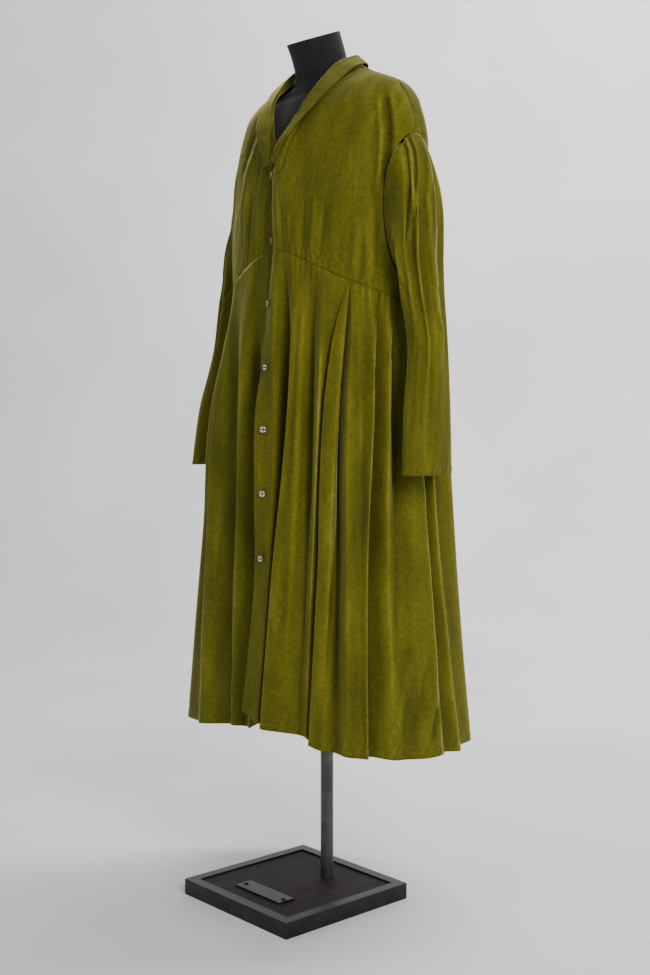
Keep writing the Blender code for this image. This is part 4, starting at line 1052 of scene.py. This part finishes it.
# Grooves and ridges along the fall: metres in from its edge, half width, and depth (a groove is
# more than 0, because the grid's normals point to the underside).
COLLAR_LINES = ((0.0055, 0.0014, 0.0009), (0.0095, 0.0016, -0.0007),
                (0.0135, 0.0016, 0.0008), (0.0180, 0.0022, -0.0006))
rows = pushed(rows, sum(deep * near(edge - inset, half) for inset, half, deep in COLLAR_LINES)
              + ripples(across, up, 26, 111, 0.0010, (0.010, 0.03), (0.02, 0.05)))
grids["collar"] = rows
pieces["collar"] = cloth("collar", rows, VELVET, offset=0.0, thickness=0.0018)

# %% [markdown]
# ## Dress form
#
# A limbless torso covered in smooth black jersey, with a sloping flat top on its neck. It is one
# lofted body, and the jersey has a fine knit that only shows close up.

# %% Dress form
FORM = {
    "level": (0.800, 0.870, 0.960, 1.060, 1.140, 1.230, 1.330, 1.400, 1.440, 1.470, 1.4900,
              1.5012, 1.5105, 1.5222, 1.5340, 1.550, 1.585, 1.612),
    "half_width": (0.150, 0.165, 0.166, 0.138, 0.122, 0.134, 0.154, 0.166, 0.176, 0.185, 0.190,
                   0.187, 0.176, 0.151, 0.111, 0.060, 0.051, 0.0485),
    "front": (0.100, 0.108, 0.106, 0.092, 0.086, 0.096, 0.110, 0.102, 0.088, 0.074, 0.062,
              0.055, 0.050, 0.050, 0.054, 0.062, 0.073, 0.084),
    "back": (0.110, 0.122, 0.120, 0.092, 0.084, 0.090, 0.098, 0.096, 0.090, 0.082, 0.076,
             0.071, 0.066, 0.060, 0.052, 0.042, 0.027, 0.015),
    "centre_y": (0.0, 0.0, 0.0, 0.0, 0.0, 0.0, 0.0, 0.0, 0.0, 0.0, 0.0,
                 0.0, 0.0, 0.0, 0.0, -0.012, -0.021, -0.0335),
    "squareness": (2.2, 2.2, 2.2, 2.2, 2.2, 2.2, 2.2, 2.1, 2.0, 1.95, 1.85,
                   1.7, 1.4, 1.25, 1.15, 1.6, 2.0, 2.0),
}
NECK_TILT = 20.0


def jersey_finish():
    finish, tree, shader = new_finish(
        "black cotton jersey", Roughness=0.85, Specular_IOR_Level=0.25, Sheen_Weight=0.12,
        Sheen_Roughness=0.5)
    place = add_node(tree, "ShaderNodeTexCoord").outputs["Object"]
    ribs = add_node(tree, "ShaderNodeTexWave", {"Scale": per_metre(1.4) / 6.3, "Distortion": 0.6,
                                               "Detail": 2.0, "Detail Scale": 3.0},
                    {"Vector": place}, wave_type="BANDS", bands_direction="X")
    lint = add_node(tree, "ShaderNodeTexNoise", {"Scale": per_metre(14.0), "Detail": 5.0},
                    {"Vector": place})
    colour = colour_steps(tree, lint.outputs["Fac"], (0.35, "111316"), (0.68, "1b1d21"))
    tree.links.new(colour, shader.inputs["Base Color"])
    bump = add_node(tree, "ShaderNodeBump", {"Strength": 0.35, "Distance": 0.0003},
                    {"Height": ribs.outputs["Fac"]})
    tree.links.new(bump.outputs["Normal"], shader.inputs["Normal"])
    return finish


def form_rows(columns=120, steps=6):
    """Level rings of the torso and neck, with the neck's top tilted."""
    turns = np.radians(np.arange(columns) * 360.0 / columns)
    rings = []
    for level, half_width, front, back, centre_y, squareness in zip(*FORM.values()):
        reach = oval_reach(turns, half_width, front + centre_y, back - centre_y, squareness)
        rings.append(np.stack([reach * np.sin(turns), centre_y - reach * np.cos(turns),
                               np.full_like(turns, level)], axis=-1))
    slope = math.tan(math.radians(NECK_TILT))
    for ring, share in ((rings[-1], 1.0), (rings[-2], 0.4)):
        ring[:, 2] += (ring[:, 1] - ring[:, 1].mean()) * slope * share
    rings = through_points(np.array(rings).reshape(len(rings), -1), steps)
    return rings.reshape(len(rings), columns, 3)


def closed_body(name, rows, finish, bevel=0.0015):
    """Body through closed rings, with flat ends and softly rounded end edges."""
    count, width = rows.shape[:2]
    body = bmesh.new()
    verts = [[body.verts.new(point) for point in row] for row in rows]
    for low in range(count - 1):
        for left in range(width):
            right = (left + 1) % width
            body.faces.new((verts[low][left], verts[low][right],
                            verts[low + 1][right], verts[low + 1][left]))
    ends = [body.faces.new(verts[0][::-1]), body.faces.new(verts[-1])]
    rims = {edge for face in ends for edge in face.edges}
    bmesh.ops.bevel(body, geom=list(rims), offset=bevel, segments=3, affect="EDGES")
    bmesh.ops.recalc_face_normals(body, faces=body.faces)
    mesh = bpy.data.meshes.new(name)
    body.to_mesh(mesh)
    body.free()
    mesh.materials.append(finish)
    mesh.shade_smooth()
    mesh.set_sharp_from_angle(angle=math.radians(50.0))
    made = in_scene(name, mesh)
    return made


JERSEY = jersey_finish()
pieces["dress_form"] = closed_body("dress_form", form_rows(), JERSEY)

# %% [markdown]
# ## Buttons
#
# Seven round buttons of pale shell, 15 mm across, each with a dark thread sewn through four holes
# as an upright cross, and painted shade round the rim. The face is turned on a grid of rings, with
# a groove pressed in for the thread.

# %% Buttons
BUTTON_LEVELS = (1.3506, 1.2325, 1.119, 1.0043, 0.8927, 0.7769, 0.6593)
BUTTON_LIFT = 0.0016


def shell_finish():
    finish, tree, shader = new_finish(
        "river shell", Roughness=0.22, Coat_Weight=0.4, Coat_Roughness=0.12)
    chart = add_node(tree, "ShaderNodeTexCoord").outputs["Object"]
    layers = add_node(tree, "ShaderNodeTexNoise",
                      {"Scale": per_metre(3.0), "Detail": 3.0, "Distortion": 1.2},
                      {"Vector": chart})
    pale = colour_steps(tree, layers.outputs["Fac"], (0.30, "bda47c"), (0.5, "e0cca6"),
                        (0.7, "ccb592"))
    # The dark mark is the thread's own colour in the cross, and painted shade on the rim.
    mark = add_node(tree, "ShaderNodeAttribute", attribute_name="dark")
    mixed = add_node(tree, "ShaderNodeMix", links={"Factor": mark.outputs["Fac"]},
                     data_type="RGBA")
    tree.links.new(pale, mixed.inputs["A"])
    mixed.inputs["B"].default_value = linear("1a1410")
    tree.links.new(mixed.outputs["Result"], shader.inputs["Base Color"])
    return finish


def button_rows():
    """Rings of a button's face and side in its own frame, and how dark each point is."""
    radii = np.array([0.0001, 0.4, 0.8, 1.2, 1.6, 2.0, 2.4, 2.8, 3.2, 3.7, 4.2, 4.7, 5.2, 5.7, 6.0,
                      6.3, 6.7, 7.1, 7.4, 7.5, 7.45, 7.2, 6.6, 0.0001]) / 1000.0
    heights = np.array([2.5, 2.5, 2.5, 2.5, 2.5, 2.5, 2.5, 2.5, 2.55, 2.6, 2.6, 2.65, 2.7, 2.7,
                        2.75, 2.95, 3.15, 3.15, 2.9, 2.4, 1.6, 0.8, 0.2, 0.2]) / 1000.0
    turns = np.radians(np.arange(96) * 360.0 / 96.0)
    x, y = radii[:, None] * np.cos(turns), radii[:, None] * np.sin(turns)
    z = np.broadcast_to(heights[:, None], x.shape).copy()
    face = (np.arange(len(radii)) < 14)[:, None]
    cross = np.exp(-(np.minimum(np.abs(x), np.abs(y)) / 0.00105) ** 4) * face
    cross = cross * (radii < 0.0056)[:, None]
    lobes = np.exp(-((np.minimum(np.abs(x), np.abs(y)) - 0.0026) / 0.0020) ** 2) * face
    z = z - 0.0009 * cross + 0.0004 * lobes
    # Painted shade: the rim and side are darkened for the shade on the button's edge.
    rim_shade = (radii > 0.0055)[:, None] * np.ones_like(x)
    return np.stack([x, y, z], axis=-1), np.clip(cross + rim_shade * 0.92, 0.0, 1.0)


def thread_finish(name, colours, pitch):
    """Twisted sewing thread: two tones in slanting stripes, and a soft fuzz."""
    finish, tree, shader = new_finish(name, Roughness=0.75, Sheen_Weight=0.2)
    place = add_node(tree, "ShaderNodeTexCoord").outputs["Object"]
    twist = add_node(tree, "ShaderNodeTexWave", {"Scale": per_metre(pitch) / 6.3,
                                                "Distortion": 1.5},
                     {"Vector": place}, wave_type="BANDS", bands_direction="DIAGONAL")
    colour = colour_steps(tree, twist.outputs["Fac"], (0.2, colours[0]), (0.8, colours[1]))
    tree.links.new(colour, shader.inputs["Base Color"])
    return finish


SHELL = shell_finish()
band = BANDS["band_left"][0]
middle = band[:, BAND_COLUMNS // 2]
across = band[:, BAND_COLUMNS // 2 + 1] - band[:, BAND_COLUMNS // 2 - 1]
for number, level in enumerate(BUTTON_LEVELS, start=1):
    place = np.array([np.interp(level, middle[:, 2], middle[:, k]) for k in range(3)])
    run = np.array([np.interp(level, middle[:, 2], across[:, k]) for k in range(3)])
    run = run / np.linalg.norm(run)
    facing = np.array([run[1], -run[0], 0.0]) / math.hypot(run[0], run[1])
    up = np.array([0.0, 0.0, 1.0])
    shape, dark = button_rows()
    rows = (place + facing * BUTTON_LIFT + shape[..., :1] * run + shape[..., 1:2] * up
            + shape[..., 2:] * facing)
    name = f"button_{number}"
    count, width = rows.shape[:2]
    faces = [(r * width + c, (r + 1) * width + c, (r + 1) * width + (c + 1) % width,
              r * width + (c + 1) % width) for r in range(count - 1) for c in range(width)]
    mesh = bpy.data.meshes.new(name)
    mesh.from_pydata(rows.reshape(-1, 3).tolist(), [], faces)
    mark = mesh.attributes.new("dark", "FLOAT", "POINT")
    mark.data.foreach_set("value", dark.reshape(-1).astype(np.float32))
    mesh.materials.append(SHELL)
    mesh.shade_smooth()
    pieces[name] = in_scene(name, mesh)
print(len(BUTTON_LEVELS), "buttons sewn on")

# %% [markdown]
# ## Topstitching
#
# Olive thread runs round the hem and the cuffs, and along both edges of the button bands. Each
# line is a path on its piece. Geometry Nodes walks along the path and lays one short stitch after
# another, each turned and sized a little differently.

# %% Stitch maker
OLIVE_THREAD = thread_finish("olive topstitch thread", ("4c4508", "857b28"), 0.6)


def stitch_tree():
    """Node group that lays stitches along a path."""
    tree = bpy.data.node_groups.new("topstitch", "GeometryNodeTree")
    face = tree.interface
    face.new_socket("Geometry", in_out="INPUT", socket_type="NodeSocketGeometry")
    for name, value in (("Pitch", 0.0032), ("Length", 0.0024), ("Thickness", 0.00038)):
        socket = face.new_socket(name, in_out="INPUT", socket_type="NodeSocketFloat")
        socket.default_value = value
    face.new_socket("Thread", in_out="INPUT", socket_type="NodeSocketMaterial")
    face.new_socket("Geometry", in_out="OUTPUT", socket_type="NodeSocketGeometry")
    given = add_node(tree, "NodeGroupInput")
    path = add_node(tree, "GeometryNodeMeshToCurve", links={"Mesh": given.outputs["Geometry"]})
    spots = add_node(tree, "GeometryNodeCurveToPoints", links={
        "Curve": path.outputs["Curve"], "Length": given.outputs["Pitch"]}, mode="LENGTH")
    bead = add_node(tree, "GeometryNodeMeshUVSphere",
                    {"Segments": 6, "Rings": 4, "Radius": 0.5})
    slim = add_node(tree, "ShaderNodeCombineXYZ", links={
        "X": given.outputs["Thickness"], "Y": given.outputs["Thickness"],
        "Z": given.outputs["Length"]})
    uneven = add_node(tree, "FunctionNodeRandomValue", {"Seed": 5}, data_type="FLOAT")
    uneven.inputs[2].default_value = 0.82
    uneven.inputs[3].default_value = 1.12
    sized = add_node(tree, "ShaderNodeVectorMath", links={
        0: slim.outputs["Vector"]}, operation="SCALE")
    tree.links.new(uneven.outputs[1], sized.inputs["Scale"])
    laid = add_node(tree, "GeometryNodeInstanceOnPoints", links={
        "Points": spots.outputs["Points"], "Instance": bead.outputs["Mesh"],
        "Rotation": spots.outputs["Rotation"], "Scale": sized.outputs["Vector"]})
    real = add_node(tree, "GeometryNodeRealizeInstances", links={
        "Geometry": laid.outputs["Instances"]})
    smooth = add_node(tree, "GeometryNodeSetShadeSmooth", links={
        "Geometry": real.outputs["Geometry"]})
    dyed = add_node(tree, "GeometryNodeSetMaterial", links={
        "Geometry": smooth.outputs["Geometry"], "Material": given.outputs["Thread"]})
    add_node(tree, "NodeGroupOutput", links={"Geometry": dyed.outputs["Geometry"]})
    return tree


STITCHES = stitch_tree()


def stitched(name, paths, **sizes):
    """Stitches along paths of points, as one plain mesh."""
    points = np.vstack(paths)
    edges, start = [], 0
    for path in paths:
        edges += [(start + k, start + k + 1) for k in range(len(path) - 1)]
        start += len(path)
    mesh = bpy.data.meshes.new(name)
    mesh.from_pydata(points.tolist(), edges, [])
    made = in_scene(name, mesh)
    maker = made.modifiers.new("stitches", "NODES")
    maker.node_group = STITCHES
    named = {item.name: item.identifier for item in STITCHES.interface.items_tree
             if item.in_out == "INPUT"}
    for label, value in {"Thread": OLIVE_THREAD, **sizes}.items():
        maker[named[label]] = value
    settled(made)
    print(name, "triangles:", sum(len(face.vertices) - 2 for face in made.data.polygons))
    return made


def line_up(rows, height, lift=0.0002, closed=False):
    """Path at one length up the cloth from its first row, lifted off it a little."""
    up = run_up(rows)
    raised = pushed(rows, np.full(rows.shape[:2], lift), closed)
    path = np.array([[np.interp(height, up[:, column], raised[:, column, k]) for k in range(3)]
                     for column in range(rows.shape[1])])
    return np.vstack([path, path[:1]]) if closed else path


def line_along(rows, inset, lift=0.0002):
    """Path along the cloth at one distance in from its first column, or from its last if less
    than 0."""
    across = run_across(rows)
    raised = pushed(rows, np.full(rows.shape[:2], lift))
    wanted = np.full(len(rows), inset) if inset > 0 else across[:, -1] + inset
    return np.array([[np.interp(wanted[row], across[row], raised[row, :, k]) for k in range(3)]
                     for row in range(len(rows))])


# %% Hem, cuff and band stitches
for name in PANELS:
    pieces[f"stitches_{name}"] = stitched(f"stitches_{name}", [line_up(grids[name], HEM_STITCH)])
for name in ("sleeve_left", "sleeve_right"):
    pieces[f"stitches_{name}"] = stitched(
        f"stitches_{name}", [line_up(grids[name], CUFF_STITCH, closed=True)])
for name in BANDS:
    pieces[f"stitches_{name}"] = stitched(
        f"stitches_{name}", [line_along(grids[name], BAND_STITCH),
                              line_along(grids[name], -BAND_STITCH)])

# %% [markdown]
# ## Stand
#
# The base is a square of dark stained board in a frame of angle steel, with a round steel pole.
# The CAD solids of these rigid parts are already right, so they stay and get their finishes.
# Blackened steel is nearly black, with soft glints and a little warm rust, and the pole is barer
# and paler. Stained board is matt, and its grain shows as fine darker lines.

# %% Steel and wood
def steel_finish(name, dark, middle, warm):
    finish, tree, shader = new_finish(name, Metallic=0.75)
    place = add_node(tree, "ShaderNodeTexCoord").outputs["Object"]
    bloom = add_node(tree, "ShaderNodeTexNoise", {"Scale": per_metre(30.0), "Detail": 6.0,
                                                 "Roughness": 0.65}, {"Vector": place})
    grit = add_node(tree, "ShaderNodeTexNoise", {"Scale": per_metre(1.2), "Detail": 2.0},
                    {"Vector": place})
    colour = colour_steps(tree, bloom.outputs["Fac"], (0.35, dark), (0.6, middle), (0.8, warm))
    tree.links.new(colour, shader.inputs["Base Color"])
    rough = add_node(tree, "ShaderNodeMapRange", {"To Min": 0.32, "To Max": 0.55},
                     {"Value": bloom.outputs["Fac"]})
    tree.links.new(rough.outputs["Result"], shader.inputs["Roughness"])
    bump = add_node(tree, "ShaderNodeBump", {"Strength": 0.15, "Distance": 0.0002},
                    {"Height": grit.outputs["Fac"]})
    tree.links.new(bump.outputs["Normal"], shader.inputs["Normal"])
    return finish


def board_finish():
    finish, tree, shader = new_finish(
        "dark stained board", Roughness=0.75, Specular_IOR_Level=0.3)
    place = add_node(tree, "ShaderNodeTexCoord").outputs["Object"]
    along = add_node(tree, "ShaderNodeMapping", {"Scale": (1.0, 0.06, 1.0)}, {"Vector": place})
    grain = add_node(tree, "ShaderNodeTexNoise", {"Scale": per_metre(4.0), "Detail": 6.0,
                                                 "Distortion": 0.5},
                     {"Vector": along.outputs["Vector"]})
    colour = colour_steps(tree, grain.outputs["Fac"], (0.30, "15100d"), (0.55, "261e1a"),
                          (0.75, "3a2f29"))
    tree.links.new(colour, shader.inputs["Base Color"])
    bump = add_node(tree, "ShaderNodeBump", {"Strength": 0.3, "Distance": 0.0004},
                    {"Height": grain.outputs["Fac"]})
    tree.links.new(bump.outputs["Normal"], shader.inputs["Normal"])
    return finish


STEEL = steel_finish("blackened steel", "232627", "303232", "52462f")
POLE_STEEL = steel_finish("bare steel tube", "454849", "5a5c5c", "77705f")
BOARD = board_finish()
for name, finish in (("base_frame", STEEL), ("pole", POLE_STEEL), ("base_plate", STEEL),
                     ("plate_screw_1", STEEL), ("plate_screw_2", STEEL), ("base_board", BOARD)):
    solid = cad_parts[name]
    for held in solid.material_slots:
        held.material = finish
print("stand finished")

# %% [markdown]
# ## The pieces on the body
#
# Each piece rides on the one body and stands for its CAD solid, which is hidden. Each cloth piece
# also states the size it was cut to before it was sewn.

# %% Ride on the body, hide the CAD solids, print cut sizes
def flat_size(rows, closed=False):
    """Width, length and area of the cloth in a grid, laid flat."""
    around = np.vstack([run_across(rows)[:, -1]])
    if closed:
        around = around + np.linalg.norm(rows[:, 0] - rows[:, -1], axis=-1)
    long = run_up(rows)[-1]
    turn = np.concatenate([rows, rows[:, :1]], axis=1) if closed else rows
    side_a, side_b = turn[1:, 1:] - turn[:-1, :-1], turn[1:, :-1] - turn[:-1, 1:]
    area = 0.5 * np.linalg.norm(np.cross(side_a, side_b), axis=-1).sum()
    return float(around.max()), float(long.max()), float(area)


for name, piece in pieces.items():
    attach(piece, "root")
    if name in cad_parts:
        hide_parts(name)
    if name == "dress_form":
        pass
    elif name.startswith("button"):
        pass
    else:
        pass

HUNG = {
    "skirt_front_left": ("gathered", ["bodice_front_left"]),
    "skirt_front_right": ("gathered", ["bodice_front_right"]),
    "skirt_back": ("gathered", ["bodice_back"]),
    "bodice_front_left": ("draped", ["dress_form"]),
    "bodice_front_right": ("draped", ["dress_form"]),
    "bodice_back": ("draped", ["dress_form"]),
    "band_left": ("hung", ["skirt_front_left", "bodice_front_left"]),
    "band_right": ("hung", ["skirt_front_right", "bodice_front_right"]),
    "sleeve_left": ("hung", ["bodice_front_left", "bodice_back"]),
    "sleeve_right": ("hung", ["bodice_front_right", "bodice_back"]),
    "collar": ("folded", ["bodice_front_left", "bodice_front_right", "bodice_back"]),
}
for name, (held, rests_on) in HUNG.items():
    width, length, area = flat_size(grids[name], closed=name.startswith("sleeve"))
    with_pieces = [pieces[f"stitches_{name}"]] if f"stitches_{name}" in pieces else []
    if name == "band_left":
        with_pieces += [pieces[f"button_{k}"] for k in range(1, 8)]
    area = min(area, width * length)
    print(name, "cut, mm:", round(1000 * width), "x", round(1000 * length),
          "area, m2:", round(area, 3))
